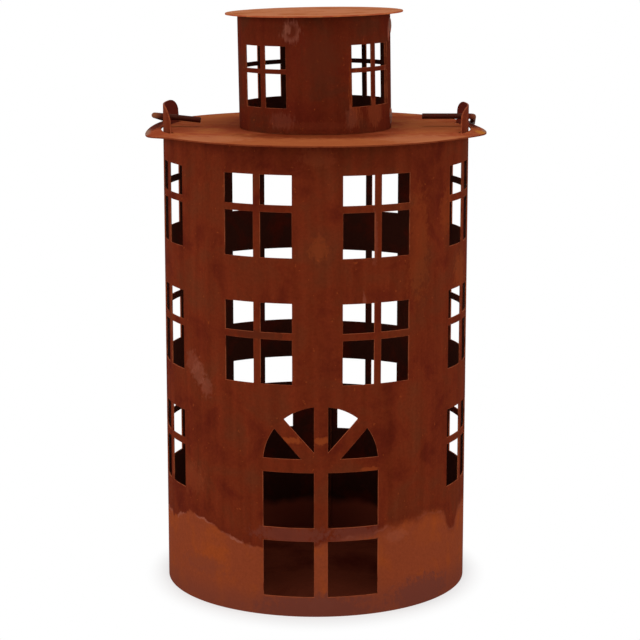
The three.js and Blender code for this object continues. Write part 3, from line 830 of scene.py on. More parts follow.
# The sockets that a list of values fills, for each kind of node that doesn't take them in order
SOCKETS = {
    "BsdfPrincipled": ("Base Color", "Roughness", "Specular IOR Level", "Normal"),
    "Bump": ("Height", "Strength", "Distance", "Normal"),
    "FloatCurve": ("Value",),
    "Mapping": ("Vector", "Scale", "Location"),
    "Mix": (0, 6, 7),
    "TexNoise": ("Vector", "Scale", "Detail", "Roughness", "Distortion"),
    "VectorMath": (0, "Scale"),
}
MIX_COLOUR = {"output": 2, "data_type": "RGBA"}
SMOOTH = {"interpolation_type": "SMOOTHSTEP"}

# Roughness and specular level of rust: as powder, as worn powder, on insides and undersides, rubbed at an
# edge, and as the scale on wire and on welds
POWDER = (0.95, 0.02)
WORN_POWDER = (0.95, 0.01)
INSIDE_FINISH = (0.9, 0.02)
RUBBED = (0.8, 0.04)
WIRE_SCALE = (0.65, 0.06)
WELD_SCALE = (0.7, 0.2)

# Rust with no marks of its own: its three tones, the size of its clouds, and its finish. Sheared edges are
# painted brighter as a painted highlight, the scale on welds catches a little light, undersides and insides
# are painted dark as painted shade, and the roof is painted the palest, as painted light on its top.
PLAIN_RUSTS = {
    "rusted_sheared_edge": ("wall", "edge", "edge", 12 * MM, RUBBED),
    "rusted_floor_steel": ("wall_deep", "inside_damp", "inside_damp", 80 * MM, POWDER),
    "rusted_lid_underside": ("inside", "inside", "wall_deep", 20 * MM, POWDER),
    "rusted_lid_edge": ("wall", "lid_edge", "lid_edge", 10 * MM, POWDER),
    "rusted_turret_inside": ("inside", "inside", "wall_deep", 20 * MM, INSIDE_FINISH),
    "rusted_turret_edge": ("wall", "edge", "edge", 12 * MM, RUBBED),
    "rusted_roof_steel": ("lid_pale", "roof", "roof", 24 * MM, POWDER),
    "rusted_roof_underside": ("inside", "inside", "wall_deep", 20 * MM, INSIDE_FINISH),
    "rusted_roof_edge": ("lid_deep", "lid", "lid_pale", 10 * MM, RUBBED),
    "scaled_weld_metal": ("edge", "weld", "weld", 3 * MM, WELD_SCALE),
}

# Sizes of the other rusts' clouds, and of the flecks on them
WALL_CLOUD = 30 * MM
FOOT_CLOUD = 24 * MM
TURRET_CLOUD = 22 * MM
INSIDE_CLOUD = 24 * MM
LID_CLOUD = 26 * MM
WIRE_CLOUD = 8 * MM
WALL_FLECK = 3.1 * MM
TURRET_FLECK = 2.6 * MM
LID_FLECK = 2.4 * MM

# Grains of rust are finer than a tenth of a millimetre. In colour and in relief they are drawn this coarse,
# because finer ones don't show. The lid and the wire are worn smoother.
POWDER_GRAIN = 1.7 * MM
SKIN_GRAIN = 1.6 * MM
WALL_GRAIN_DEPTH = 0.09 * MM
PLAIN_GRAIN_DEPTH = 0.08 * MM
LID_GRAIN_DEPTH = 0.07 * MM
WIRE_GRAIN_DEPTH = 0.06 * MM
GRAIN_STRENGTH = 0.4
# Shallow dents in all the rust, the waves and breaks of its stains, and the waver of the painted door light
SKIN_DENT = 14 * MM
DENT_DEPTH = 0.3 * MM
DENT_STRENGTH = 0.3
TIDE_WAVE = 9 * MM
CRUST_BREAK = 14 * MM
DOOR_LIGHT_WAVE = 20 * MM

# Detail, roughness and distortion of each noise, as far as they differ from the node's own
CLOUD_NOISE = (5, 0.6, 0.4)
POWDER_NOISE = (3,)
FLECK_NOISE = (2,)
RAIN_NOISE = (4, 0.5)
MARK_NOISE = (5, 0.7)
TIDE_NOISE = (6, 0.6)
CRUST_NOISE = (2,)
DOOR_LIGHT_NOISE = (4,)
SKIN_NOISE = (4, 0.65)
DENT_NOISE = (2,)

# A range says where a value starts and ends, and what it turns into there if that isn't 0 and 1. Those that
# start with 0.3 and 0.7 take the middle of a noise, where most of it lies.
CLOUD_STOPS = (0.34, 0.5, 0.66)
POWDER_RANGE = (0.3, 0.7, 0.91, 1.09)
FLECK_RANGE = (0.7, 0.74, 0, 0.5)
RAIN_RANGE = (0.3, 0.7, 0.86, 1.12)
TIDE_RANGE = (0.3, 0.7, -2.2 * MM, 2.2 * MM)
MARK_RANGE = (0.3, 0.7, -0.5, 0.5)
MARK_EDGES = (1.1, 0.55)
MARK_MIDDLE = (0.75, 0.35)
FOOT_DAMP = (26 * MM, 2 * MM, 0, 0.6)
TIDE_RIM = (11 * MM, 1 * MM, 0, 0.3)
CRUST_EDGES = (1.3 * MM, 0.2 * MM)
CRUST_BREAKS = (0.48, 0.6, 0, 0.6)
CRUST_FADE = (0, 1, 1, 0.25)
# Painted shade inside: the rust darker lower down
INSIDE_SHADE_RANGE = (20 * MM, 190 * MM, 0.55, 1)
# Painted light inside near the floor, where it falls in through the door: its waver and its edges
DOOR_LIGHT_WAVER = (0, 1, -6 * MM, 6 * MM)
DOOR_LIGHT_EDGES = (26 * MM, 18 * MM)
EAR_EDGES = (325 * MM, 327 * MM)
# The lid's front painted paler: a painted sheen
LID_FRONT = (-62 * MM, -84 * MM, 0, 0.6)
WIRE_CORNER = (16 * MM, 4 * MM)
# How far and how strongly the crust and painted shade reach over the lid round the turret's foot, and the
# wire's wear out from the tower
LID_CRUST_AND_SHADE = (36 * MM, 0.35)
WIRE_WEAR = (6 * MM, 0.7)

# Where the tide line runs round the tower's foot: azimuth, and height in millimetres
TIDE_LINE = (
    (-180, 55),
    (-120, 60),
    (-66.6, 54),
    (-54, 62),
    (-42, 57),
    (-30, 51.5),
    (-21.6, 48),
    (20, 58),
    (33, 61.3),
    (48.8, 63.6),
    (56, 59.7),
    (59, 52),
    (63.8, 45.6),
    (69, 57),
    (77.7, 60.8),
    (120, 52),
    (180, 55),
)
# The height that the curve node's 1 stands for, in millimetres
TIDE_SCALE = 100
# The line is sharp on the left and fades to the right: places along the sheet, and half its softness
TIDE_FADE = (-40 * MM, 60 * MM)
TIDE_SOFTNESS = (1.3 * MM, 5 * MM)

# Marks on a rolled wall: azimuth, then height, half width and half height in millimetres, strength, colour
# and, where the middle has dried back to plain rust, how far
TOWER_MARKS = (
    (-52, 171, 9, 9, 0.16, "scuff"),
    (-48.5, 164, 8, 9, 0.22, "scuff"),
    (-44.5, 156, 6, 9, 0.2, "scuff"),
    (40, 255, 11, 42, 0.25, "foot_orange"),
    (-21.7, 197, 22, 4, 0.8, "turret_brown"),
    # These two lighten the ears' outer faces and the wall below them: painted light
    (-86, 335, 30, 16, 0.4, "foot"),
    (86, 335, 30, 16, 0.4, "foot"),
    (-54, 88, 17, 12, 0.35, "foot"),
    # Lightens the wall under the lid's front: painted light in the lid's shade
    (0.5, 318, 13, 8, 0.3, "foot"),
    (1, 256, 7, 9, 0.3, "foot_orange"),
    (56, 276, 9, 18, 0.3, "foot_orange"),
    (45, 50, 15, 10, 0.3, "foot_orange"),
    (69, 229, 13, 17, 0.35, "foot_orange"),
    (21.5, 262, 2.2, 20, 0.16, "scuff"),
    (17.5, 214, 1.6, 15, 0.25, "scuff"),
    (-10, 124.8, 10, 2.8, 0.7, "foot_orange"),
    (2.4, 124.8, 9, 2.8, 0.7, "foot_orange"),
    (20, 103.5, 8, 1.8, 0.5, "foot_orange"),
    (1.9, 8.6, 9, 5, 0.4, "scuff", 0.5),
    (44, 8, 32, 14, 0.9, "foot_purple"),
    (-47, 27, 26, 8, 0.35, "foot_purple"),
    (-9, 58.5, 30, 7, 0.6, "foot_purple"),
    (14, 58.5, 20, 7, 0.6, "foot_purple"),
    (0, 5, 46, 13, 0.9, "foot_purple"),
    (31, 54, 10, 5, 0.15, "scuff"),
)
TURRET_MARKS = (
    (-17, 70.5, 7, 9, 0.35, "scuff", 0.85),
    (-19.5, 72, 2.5, 4, 0.4, "scuff"),
    (4, 50, 16, 20, 0.55, "turret_brown"),
    # A dark line down the turret's lap: painted shadow
    (84, 40, 6, 70, 0.9, "inside"),
    (-26, 9, 11, 7, 0.13, "scuff"),
    (27, 11, 5, 8, 0.14, "scuff"),
    (2, 6, 36, 3, 0.15, "foot"),
    (31, 30, 6, 18, 0.5, "foot_orange"),
    (30, 12, 7, 9, 0.3, "foot"),
    (50, 14, 9, 12, 0.5, "foot"),
    (64, 35, 1.6, 12, 0.4, "scuff"),
    (73, 68, 2.5, 7, 0.7, "scuff"),
)
# Marks on the lid: the same, but from its middle to the right and to the rear, both in millimetres
LID_MARKS = (
    # The turret's painted shadow on the lid in front of it
    (0, -58, 66, 20, 0.6, "lid_crust_and_shade"),
    (-80, 42, 26, 40, 0.4, "lid_pale"),
    (82, 0, 26, 60, 0.55, "lid_pale"),
    (-74, -78, 32, 26, 0.5, "roof"),
    (74, -78, 36, 28, 0.5, "roof"),
    (0, 88, 70, 26, 0.4, "lid_pale"),
    # Painted shade on the rear of the lid's ends, beside the ears
    (-116, 24, 8, 30, 0.85, "lid_end_shade"),
    (113, 30, 7, 26, 0.75, "lid_end_shade"),
    # A greyish tone on the lid's outermost rim
    (-121, -10, 4.5, 26, 0.6, "lid_rim_grey"),
    (121, -8, 4, 22, 0.6, "lid_rim_grey"),
    (115.5, -22, 5, 14, 0.75, "lid_yellow"),
)
# Widths and lengths of the streaks that rain leaves, and of those that break marks up
RAIN_STREAK = (7 * MM, 95 * MM)
TOWER_STREAK = (3.2 * MM, 4.6 * MM)
TURRET_STREAK = (1.6 * MM, 7 * MM)
LID_STREAK = (7 * MM, 5 * MM)


def add_node(tree, kind, values=(), output=0, stops=(), points=(), **options):
    """Adds a shader node with its settings and returns one of its outputs. The values go to the sockets that
    SOCKETS names, or else to the first ones. Each is another node's output or a plain value."""
    node = tree.nodes.new("ShaderNode" + kind)
    for option, value in options.items():
        setattr(node, option, value)
    for name, value in zip(SOCKETS.get(kind, range(len(values))), values):
        socket = node.inputs[name]
        if isinstance(value, bpy.types.NodeSocket):
            tree.links.new(value, socket)
        else:
            socket.default_value = (*value, 1) if socket.type == "RGBA" else value
    for index, (position, tone) in enumerate(stops):
        elements = node.color_ramp.elements
        element = elements[index] if index < len(elements) else elements.new(position)
        element.position = position
        element.color = (*tone, 1)
    for index, place in enumerate(points):
        curve = node.mapping.curves[0].points
        point = curve[index] if index < 2 else curve.new(*place)
        point.location = place
    if points:
        node.mapping.update()
    return node.outputs[output] if node.outputs else node


def new_material(name):
    """An empty procedural material, its node tree and the place on the object."""
    material = bpy.data.materials.new(name)
    material.use_nodes = True
    tree = material.node_tree
    tree.nodes.clear()
    return material, tree, add_node(tree, "TexCoord", output="Object")


def shaded(tree, tone, value, span):
    """Darkens or lightens a tone where a value runs through a range."""
    level = add_node(tree, "MapRange", [value, *span])
    return add_node(tree, "VectorMath", [tone, level], "Vector", operation="SCALE")


def laid_over(tree, under, over, value, span, **options):
    """Lays a tone over another where a value runs through a range."""
    share = add_node(tree, "MapRange", [value, *span], **options)
    return add_node(tree, "Mix", [share, under, over], **MIX_COLOUR)


def rust_clouds(tree, place, cloud, tones):
    """Rust in soft clouds of three tones, with powdery grains over them."""
    clouds = add_node(tree, "TexNoise", [place, 1 / cloud, *CLOUD_NOISE])
    tone = add_node(tree, "ValToRGB", [clouds], stops=tuple(zip(CLOUD_STOPS, tones)))
    grain = add_node(tree, "TexNoise", [place, 1 / POWDER_GRAIN, *POWDER_NOISE])
    return shaded(tree, tone, grain, POWDER_RANGE)


def rust_flecks(tree, place, under, over, size):
    """Scatters small flecks of another rust over a surface."""
    spots = add_node(tree, "TexNoise", [place, 1 / size, *FLECK_NOISE])
    return laid_over(tree, under, over, spots, FLECK_RANGE)


def drawn_out(tree, sheet, streak, noise_kind):
    """Noise drawn out into streaks of a width and a length."""
    across, along = streak
    stretched = add_node(tree, "Mapping", [sheet, (1 / across, 1 / along, 1)])
    return add_node(tree, "TexNoise", [stretched, 1, *noise_kind])


def rain_streaks(tree, sheet, under):
    """Darkens and lightens a wall in the upright streaks that rain has left."""
    return shaded(tree, under, drawn_out(tree, sheet, RAIN_STREAK, RAIN_NOISE), RAIN_RANGE)


def placed_round(marks, radius):
    """Marks with their azimuths turned into places along the flat sheet, in millimetres."""
    return [(radius / MM * radians(azimuth), *rest) for azimuth, *rest in marks]


def rust_marks(tree, sheet, under, marks, streak, rust):
    """Lays streaky marks on a sheet, each at its place on the flat sheet."""
    worn = add_node(tree, "MapRange", [drawn_out(tree, sheet, streak, MARK_NOISE), *MARK_RANGE])
    for right, up, half_width, half_height, strength, tone, *dried in marks:
        spot = [sheet, (half_width * MM, half_height * MM, 1), (right * MM, up * MM, 0)]
        place = add_node(tree, "Mapping", spot, vector_type="TEXTURE")
        away = add_node(tree, "VectorMath", [place], "Value", operation="LENGTH")
        ragged = add_node(tree, "Math", [away, worn], operation="ADD")
        mask = add_node(tree, "MapRange", [ragged, *MARK_EDGES, 0, strength], **SMOOTH)
        for share in dried:
            kept = add_node(tree, "MapRange", [away, *MARK_MIDDLE, 1, 1 - share], **SMOOTH)
            mask = add_node(tree, "Math", [mask, kept], operation="MULTIPLY")
        under = add_node(tree, "Mix", [mask, under, getattr(rust, tone)], **MIX_COLOUR)
    return under


def above_tide(tree, sheet, radius):
    """How far a point of the tower's sheet lies above the wavering tide line."""
    apart = add_node(tree, "SeparateXYZ", [sheet], "X")
    share = add_node(tree, "MapRange", [apart, -pi * radius, pi * radius])
    line = add_node(tree, "FloatCurve", [share],
                    points=[((azimuth + 180) / 360, height / TIDE_SCALE) for azimuth, height in TIDE_LINE])
    ragged = add_node(tree, "TexNoise", [sheet, 1 / TIDE_WAVE, *TIDE_NOISE])
    waver = add_node(tree, "MapRange", [ragged, *TIDE_RANGE])
    level = add_node(tree, "Math", [line, TIDE_SCALE * MM, waver], operation="MULTIPLY_ADD")
    height = add_node(tree, "SeparateXYZ", [sheet], "Y")
    return add_node(tree, "Math", [height, level], operation="SUBTRACT")


def tide_foot(tree, place, sheet, under, rust, radius):
    """Lighter, mottled rust below the tide line, with a pale crust along it and a dark rim above it."""
    rise = above_tide(tree, sheet, radius)
    foot = rust_clouds(tree, place, FOOT_CLOUD, (rust.foot, rust.foot, rust.foot_orange))
    low = add_node(tree, "SeparateXYZ", [sheet], "Y")
    foot = laid_over(tree, foot, rust.foot_purple, low, FOOT_DAMP, **SMOOTH)
    under = laid_over(tree, under, rust.wall_deep, rise, TIDE_RIM, **SMOOTH)
    apart = add_node(tree, "SeparateXYZ", [sheet], "X")
    faded = add_node(tree, "MapRange", [apart, *TIDE_FADE])
    reach = add_node(tree, "MapRange", [faded, 0, 1, *TIDE_SOFTNESS])
    below = add_node(tree, "Math", [reach, -1], operation="MULTIPLY")
    both = laid_over(tree, under, foot, rise, (reach, below), **SMOOTH)
    from_line = add_node(tree, "Math", [rise], operation="ABSOLUTE")
    crust = add_node(tree, "MapRange", [from_line, *CRUST_EDGES])
    broken = add_node(tree, "TexNoise", [sheet, 1 / CRUST_BREAK, *CRUST_NOISE])
    kept = add_node(tree, "MapRange", [broken, *CRUST_BREAKS])
    lasting = add_node(tree, "MapRange", [faded, *CRUST_FADE])
    for share in (kept, lasting):
        crust = add_node(tree, "Math", [crust, share], operation="MULTIPLY")
    return add_node(tree, "Mix", [crust, both, rust.scuff], **MIX_COLOUR)


def rust_surface(tree, tone, place, finish, grain_depth):
    """Ends a rust material. Iron oxide is a dull powder: it scatters light and hardly mirrors it."""
    grain = add_node(tree, "TexNoise", [place, 1 / SKIN_GRAIN, *SKIN_NOISE])
    dents = add_node(tree, "TexNoise", [place, 1 / SKIN_DENT, *DENT_NOISE])
    fine = add_node(tree, "Bump", [grain, GRAIN_STRENGTH, grain_depth], "Normal")
    bump = add_node(tree, "Bump", [dents, DENT_STRENGTH, DENT_DEPTH, fine], "Normal")
    shader = add_node(tree, "BsdfPrincipled", [tone, *finish, bump], "BSDF")
    add_node(tree, "OutputMaterial", [shader])


def rusted_wall_steel(rust, tower):
    """Mild steel sheet left to rust outdoors: even dark red-brown, with a lighter foot where it stood wet."""
    material, tree, place = new_material("rusted_wall_steel")
    sheet = add_node(tree, "UVMap", uv_map=FLAT_SHEET)
    tone = rust_clouds(tree, place, WALL_CLOUD, (rust.wall_deep, rust.wall, rust.wall_brown))
    tone = rain_streaks(tree, sheet, tone)
    tone = rust_flecks(tree, place, tone, rust.foot_orange, WALL_FLECK)
    tone = tide_foot(tree, place, sheet, tone, rust, tower.radius)
    tone = rust_marks(tree, sheet, tone, placed_round(TOWER_MARKS, tower.radius), TOWER_STREAK, rust)
    rust_surface(tree, tone, place, POWDER, WALL_GRAIN_DEPTH)
    return material


def rusted_turret_steel(rust, turret):
    """The turret's thinner rust: redder and browner clouds, with marks and scuffs."""
    material, tree, place = new_material("rusted_turret_steel")
    sheet = add_node(tree, "UVMap", uv_map=FLAT_SHEET)
    tone = rust_clouds(tree, place, TURRET_CLOUD, (rust.turret_brown, rust.turret, rust.wall_deep))
    tone = rain_streaks(tree, sheet, tone)
    tone = rust_flecks(tree, place, tone, rust.foot_orange, TURRET_FLECK)
    tone = rust_marks(tree, sheet, tone, placed_round(TURRET_MARKS, turret.radius), TURRET_STREAK, rust)
    rust_surface(tree, tone, place, POWDER, WALL_GRAIN_DEPTH)
    return material


def rusted_inside_steel(rust):
    """The tower's sheet inside: dark with painted shade, darker lower down, with painted light near the floor
    where it falls in through the door, and plain on the ears.
    """
    material, tree, place = new_material("rusted_inside_steel")
    tone = rust_clouds(tree, place, INSIDE_CLOUD, (rust.inside, rust.inside, rust.wall_deep))
    height = add_node(tree, "SeparateXYZ", [place], "Z")
    tone = shaded(tree, tone, height, INSIDE_SHADE_RANGE)
    # Painted light: a band near the floor, where light falls in through the door
    ragged = add_node(tree, "TexNoise", [place, 1 / DOOR_LIGHT_WAVE, *DOOR_LIGHT_NOISE])
    waver = add_node(tree, "MapRange", [ragged, *DOOR_LIGHT_WAVER])
    level = add_node(tree, "Math", [height, waver], operation="ADD")
    tone = laid_over(tree, tone, rust.inside_damp, level, DOOR_LIGHT_EDGES, **SMOOTH)
    tone = laid_over(tree, tone, rust.ear_inside, height, EAR_EDGES)
    rust_surface(tree, tone, place, INSIDE_FINISH, WALL_GRAIN_DEPTH)
    return material


def rusted_plain_steel(name, rust):
    """Rust with no marks of its own, for edges, undersides and other quiet places."""
    *tones, cloud, finish = PLAIN_RUSTS[name]
    material, tree, place = new_material(name)
    clouds = rust_clouds(tree, place, cloud, [getattr(rust, tone) for tone in tones])
    rust_surface(tree, clouds, place, finish, PLAIN_GRAIN_DEPTH)
    return material


def rusted_lid_steel(rust, turret):
    """The lid's top: orange-brown rust with a dark crust and painted shade round the turret's foot, painted
    paler in front as a painted sheen.
    """
    material, tree, place = new_material("rusted_lid_steel")
    tone = rust_clouds(tree, place, LID_CLOUD, (rust.lid_deep, rust.lid, rust.lid_pale))
    tone = rust_flecks(tree, place, tone, rust.lid_deep, LID_FLECK)
    level = add_node(tree, "Mapping", [place, (1, 1, 0)])
    out = add_node(tree, "VectorMath", [level], "Value", operation="LENGTH")
    # A dark crust and painted shade round the turret's foot
    reach, share = LID_CRUST_AND_SHADE
    edges = (turret.radius + reach, turret.radius, 0, share)
    tone = laid_over(tree, tone, rust.lid_crust_and_shade, out, edges, **SMOOTH)
    # Painted sheen: the lid paler towards its front
    along = add_node(tree, "SeparateXYZ", [place], "Y")
    tone = laid_over(tree, tone, rust.lid_pale, along, LID_FRONT, **SMOOTH)
    tone = rust_marks(tree, level, tone, LID_MARKS, LID_STREAK, rust)
    rust_surface(tree, tone, place, WORN_POWDER, LID_GRAIN_DEPTH)
    return material


def scaled_wire_steel(rust, tower):
    """Drawn steel wire under dark brown scale, rubbed to orange rust where its corners strike things."""
    material, tree, place = new_material("scaled_wire_steel")
    tone = rust_clouds(tree, place, WIRE_CLOUD, (rust.wire, rust.wire, rust.wall_deep))
    apart = add_node(tree, "SeparateXYZ", [place], "X")
    side = add_node(tree, "Math", [apart], operation="ABSOLUTE")
    reach, share = WIRE_WEAR
    worn = add_node(tree, "MapRange", [side, tower.radius + SHEET, tower.radius + reach, 0, share])
    near = add_node(tree, "SeparateXYZ", [place], "Y")
    corner = add_node(tree, "MapRange", [near, *WIRE_CORNER])
    worn = add_node(tree, "Math", [worn, corner], operation="MULTIPLY")
    tone = add_node(tree, "Mix", [worn, tone, rust.wire_worn], **MIX_COLOUR)
    rust_surface(tree, tone, place, WIRE_SCALE, WIRE_GRAIN_DEPTH)
    return material


# Operators


class LANTERN_OT_tower_wall(bpy.types.Operator):
    """Cuts the tower's sheet with its windows, door and ears, and rolls it"""

    bl_idname = "lantern.tower_wall"
    bl_label = "Tower Wall"

    def execute(self, context):
        sizes = settings()
        bm = tower_blank(sizes.tower, sizes.door)
        roll_up(bm, sizes.tower.radius, TOWER_SEAM_AZIMUTH)
        rust = sizes.rust
        materials = [
            rusted_wall_steel(rust, sizes.tower),
            rusted_inside_steel(rust),
            rusted_plain_steel("rusted_sheared_edge", rust),
        ]
        nodes = ("tower_wall_front", "tower_wall_right", "tower_wall_left")
        finished("rolled_tower_wall", bm, "tower", nodes, materials)
        return {"FINISHED"}


class LANTERN_OT_floor(bpy.types.Operator):
    """Gives the floor plate its rusted finish"""

    bl_idname = "lantern.floor"
    bl_label = "Floor Plate"

    def execute(self, context):
        finish = rusted_plain_steel("rusted_floor_steel", settings().rust)
        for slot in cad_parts["floor_plate"].material_slots:
            slot.material = finish
        return {"FINISHED"}


class LANTERN_OT_lid(bpy.types.Operator):
    """Spins the lid, cuts its ear slots and bends its rim down beside the ears"""

    bl_idname = "lantern.lid"
    bl_label = "Lid"

    def execute(self, context):
        sizes = settings()
        rust = sizes.rust
        materials = [
            rusted_lid_steel(rust, sizes.turret),
            rusted_plain_steel("rusted_lid_underside", rust),
            rusted_plain_steel("rusted_lid_edge", rust),
        ]
        bm = lid_mesh(sizes.tower, sizes.lid)
        finished("bent_lid_plate", bm, "lid", ("lid_plate",), materials)
        return {"FINISHED"}


class LANTERN_OT_turret(bpy.types.Operator):
    """Cuts and rolls the turret's sheet, and lays the roof on it"""

    bl_idname = "lantern.turret"
    bl_label = "Turret and Roof"

    def execute(self, context):
        sizes = settings()
        turret = sizes.turret
        rust = sizes.rust
        bm = turret_blank(turret)
        roll_up(bm, turret.radius, turret.seam_azimuth)
        # The foot is cut aslant, so that the leaning wall stands level on the lid
        for vert in bm.verts:
            if vert.co.z < EDGE_ROUND * 2:
                vert.co.z += (SEAT_GAP - vert.co.x * sin(turret.lean)) / cos(turret.lean)
        move(bm, leaning())
        materials = [
            rusted_turret_steel(rust, turret),
            rusted_plain_steel("rusted_turret_inside", rust),
            rusted_plain_steel("rusted_turret_edge", rust),
        ]
        finished("rolled_turret_wall", bm, "lid", ("turret_wall",), materials)
        names = ("rusted_roof_steel", "rusted_roof_underside", "rusted_roof_edge")
        materials = [rusted_plain_steel(name, rust) for name in names]
        roof = roof_mesh(turret, sizes.lid)
        finished("round_roof_plate", roof, "lid", ("turret_roof",), materials)
        return {"FINISHED"}


class LANTERN_OT_bail(bpy.types.Operator):
    """Bends the wire bail and hooks it into the ears"""

    bl_idname = "lantern.bail"
    bl_label = "Wire Bail"

    def execute(self, context):
        sizes = settings()
        bail = sizes.bail
        slope = min(arm_slope(side, bail, sizes.tower, sizes.lid) for side in (-1, 1))
        bm = swept_wire(bail_stations(bail, sizes.tower), bail.wire_radius, bail.sides)
        move(bm, Matrix.Translation((0, 0, pin_height())) @ Matrix.Rotation(-slope, 4, "X"))
        material = scaled_wire_steel(sizes.rust, sizes.tower)
        finished("bent_bail_wire", bm, "bail", ("bail",), [material])
        return {"FINISHED"}


class LANTERN_OT_welds(bpy.types.Operator):
    """Lays the weld beads in the seams and corners"""

    bl_idname = "lantern.welds"
    bl_label = "Weld Beads"

    def execute(self, context):
        sizes = settings()
        tower = sizes.tower
        turret = sizes.turret
        inside = turret.radius - SHEET
        corners = (
            ("floor_weld", "tower", FLOOR_BEAD_TURN, tower.radius - SHEET, SHEET, 1),
            ("turret_foot_weld", "lid", TURRET_BEAD_TURN, inside, lid_top(), 1),
            ("roof_weld", "lid", TURRET_BEAD_TURN, inside, turret.height, -1),
        )
        seams = (
            ("tower_seam_weld", "tower", TOWER_SEAM_BEADS, tower, TOWER_SEAM_AZIMUTH),
            ("turret_seam_weld", "lid", TURRET_SEAM_BEADS, turret, turret.seam_azimuth),
        )
        beads = []
        for index in range(CORNER_BEADS):
            for row, (node, body, first, *place) in enumerate(corners):
                azimuth = first + 360 * index / CORNER_BEADS
                bead = corner_bead(azimuth, *place, row * CORNER_BEADS + index)
                beads.append((node, index, body, bead))
        for row, (node, body, (count, inset), wall, seam) in enumerate(seams, len(corners)):
            for index in range(count):
                height = inset + (wall.height - 2 * inset) * index / (count - 1)
                bead = seam_bead(wall.radius, seam, height, row * CORNER_BEADS + index)
                beads.append((node, index, body, bead))
        metal = rusted_plain_steel("scaled_weld_metal", sizes.rust)
        for node, index, body, bead in beads:
            if node in LEANING_WELDS:
                move(bead, leaning())
            name = f"{node}_{index + 1}"
            finished(name + "_bead", bead, body, (name,), [metal])
        return {"FINISHED"}


class LANTERN_OT_stage(bpy.types.Operator):
    """Sets the floor, the soft light and the camera"""

    bl_idname = "lantern.stage"
    bl_label = "Stage"

    def execute(self, context):
        stage = settings().stage
        set_floor(stage)
        set_world(stage)
        set_lights()
        set_camera(stage)
        context.scene.view_settings.view_transform = "Standard"
        return {"FINISHED"}


# Stage

FLOOR_HALF = 6.0
SENSOR_WIDTH = 36
WHITE = (1, 1, 1)
# Around the foot the floor is matt and takes the shadow, and further off it is all backdrop. To the sides
# the shadow ends sooner than in front.
SHADOW_REACH = (0.108, 0.142)
SHADOW_SHAPE = (1.12, 1, 1)
# Soft boxes: name, azimuth, elevation, distance, width, and the light each gives a surface that faces it
SOFT_BOXES = (
    ("left_softbox", -66, 14, 2.2, 1.2, 0.62),
    ("right_softbox", 66, 14, 2.2, 1.2, 0.53),
    ("top_softbox", 0, 62, 2.4, 1.4, 0.5),
)


def seen_by(tree, *rays):
    """Whether a ray of one of the given kinds has met the surface."""
    seen, *others = [add_node(tree, "LightPath", output=ray) for ray in rays]
    for other in others:
        seen = add_node(tree, "Math", [seen, other], operation="MAXIMUM")
    return seen


def set_floor(stage):
    bm = bmesh.new()
    bmesh.ops.create_grid(bm, x_segments=1, y_segments=1, size=FLOOR_HALF)
    mesh = bpy.data.meshes.new("studio_floor")
    bm.to_mesh(mesh)
    bm.free()
    material, tree, place = new_material("studio_floor_paint")
    shaped = add_node(tree, "Mapping", [place, SHADOW_SHAPE])
    away = add_node(tree, "VectorMath", [shaped], "Value", operation="LENGTH")
    glow = add_node(tree, "MapRange", [away, *SHADOW_REACH, stage.floor_glow, 1], **SMOOTH)
    seen = seen_by(tree, "Is Camera Ray", "Is Glossy Ray")
    share = add_node(tree, "Math", [seen, glow], operation="MULTIPLY")
    paint = add_node(tree, "BsdfDiffuse", [stage.floor_colour], "BSDF")
    white = add_node(tree, "Emission", [WHITE, stage.backdrop], "Emission")
    add_node(tree, "OutputMaterial", [add_node(tree, "MixShader", [share, paint, white])])
    mesh.materials.append(material)
    in_scene("studio_floor", mesh)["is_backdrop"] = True


def set_world(stage):
    world = bpy.data.worlds.new("studio")
    bpy.context.scene.world = world
    world.use_nodes = True
    tree = world.node_tree
    tree.nodes.clear()
    seen = seen_by(tree, "Is Camera Ray", "Is Glossy Ray", "Is Transmission Ray")
    even = add_node(tree, "Background", [WHITE, stage.ambient], "Background")
    white = add_node(tree, "Background", [WHITE, stage.backdrop], "Background")
    add_node(tree, "OutputWorld", [add_node(tree, "MixShader", [seen, even, white])])


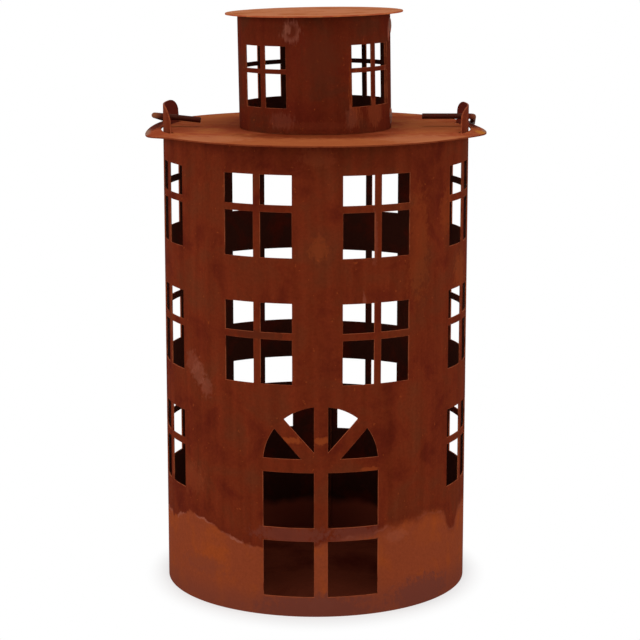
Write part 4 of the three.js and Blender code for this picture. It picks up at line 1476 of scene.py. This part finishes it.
def set_lights():
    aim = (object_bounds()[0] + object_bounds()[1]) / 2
    for name, azimuth, elevation, distance, width, share in SOFT_BOXES:
        light = bpy.data.lights.new(name, "AREA")
        light.shape = "SQUARE"
        light.size = width
        light.energy = share * pi ** 2 * distance ** 2
        lamp = in_scene(name, light)
        level = distance * cos(radians(elevation))
        lamp.location = plan_point(level, azimuth, aim.z + distance * sin(radians(elevation)))
        lamp.rotation_euler = (aim - lamp.location).to_track_quat("-Z", "Y").to_euler()


def set_camera(stage):
    data = bpy.data.cameras.new("photo_camera")
    data.sensor_width = SENSOR_WIDTH
    data.lens = stage.camera_lens
    data.shift_x = stage.camera_shift
    camera = in_scene("photo_camera", data)
    camera.location = (0, -stage.camera_back, stage.camera_height)
    camera.rotation_euler = (pi / 2 - stage.camera_pitch, 0, 0)
    bpy.context.scene.camera = camera


# Panel and registration

OPERATORS = (
    LANTERN_OT_tower_wall,
    LANTERN_OT_floor,
    LANTERN_OT_lid,
    LANTERN_OT_turret,
    LANTERN_OT_bail,
    LANTERN_OT_welds,
    LANTERN_OT_stage,
)


class LANTERN_PT_panel(bpy.types.Panel):
    """Lists the lantern's pieces in the 3D view's sidebar"""

    bl_idname = "LANTERN_PT_panel"
    bl_label = "Tower Lantern"
    bl_space_type = "VIEW_3D"
    bl_region_type = "UI"
    bl_category = "Lantern"

    def draw(self, context):
        for operator in OPERATORS:
            self.layout.operator(operator.bl_idname)


CLASSES = (
    TowerSizes,
    DoorSizes,
    LidSizes,
    TurretSizes,
    BailSizes,
    RustColours,
    StageSettings,
    LanternSettings,
    *OPERATORS,
    LANTERN_PT_panel,
)


def register():
    for item in CLASSES:
        bpy.utils.register_class(item)
    bpy.types.Scene.lantern = PointerProperty(type=LanternSettings)


def unregister():
    del bpy.types.Scene.lantern
    for item in reversed(CLASSES):
        bpy.utils.unregister_class(item)


def main():
    register()
    bpy.ops.lantern.tower_wall()
    bpy.ops.lantern.floor()
    bpy.ops.lantern.lid()
    bpy.ops.lantern.turret()
    bpy.ops.lantern.bail()
    bpy.ops.lantern.welds()
    bpy.ops.lantern.stage()


if __name__ == "__main__":
    main()
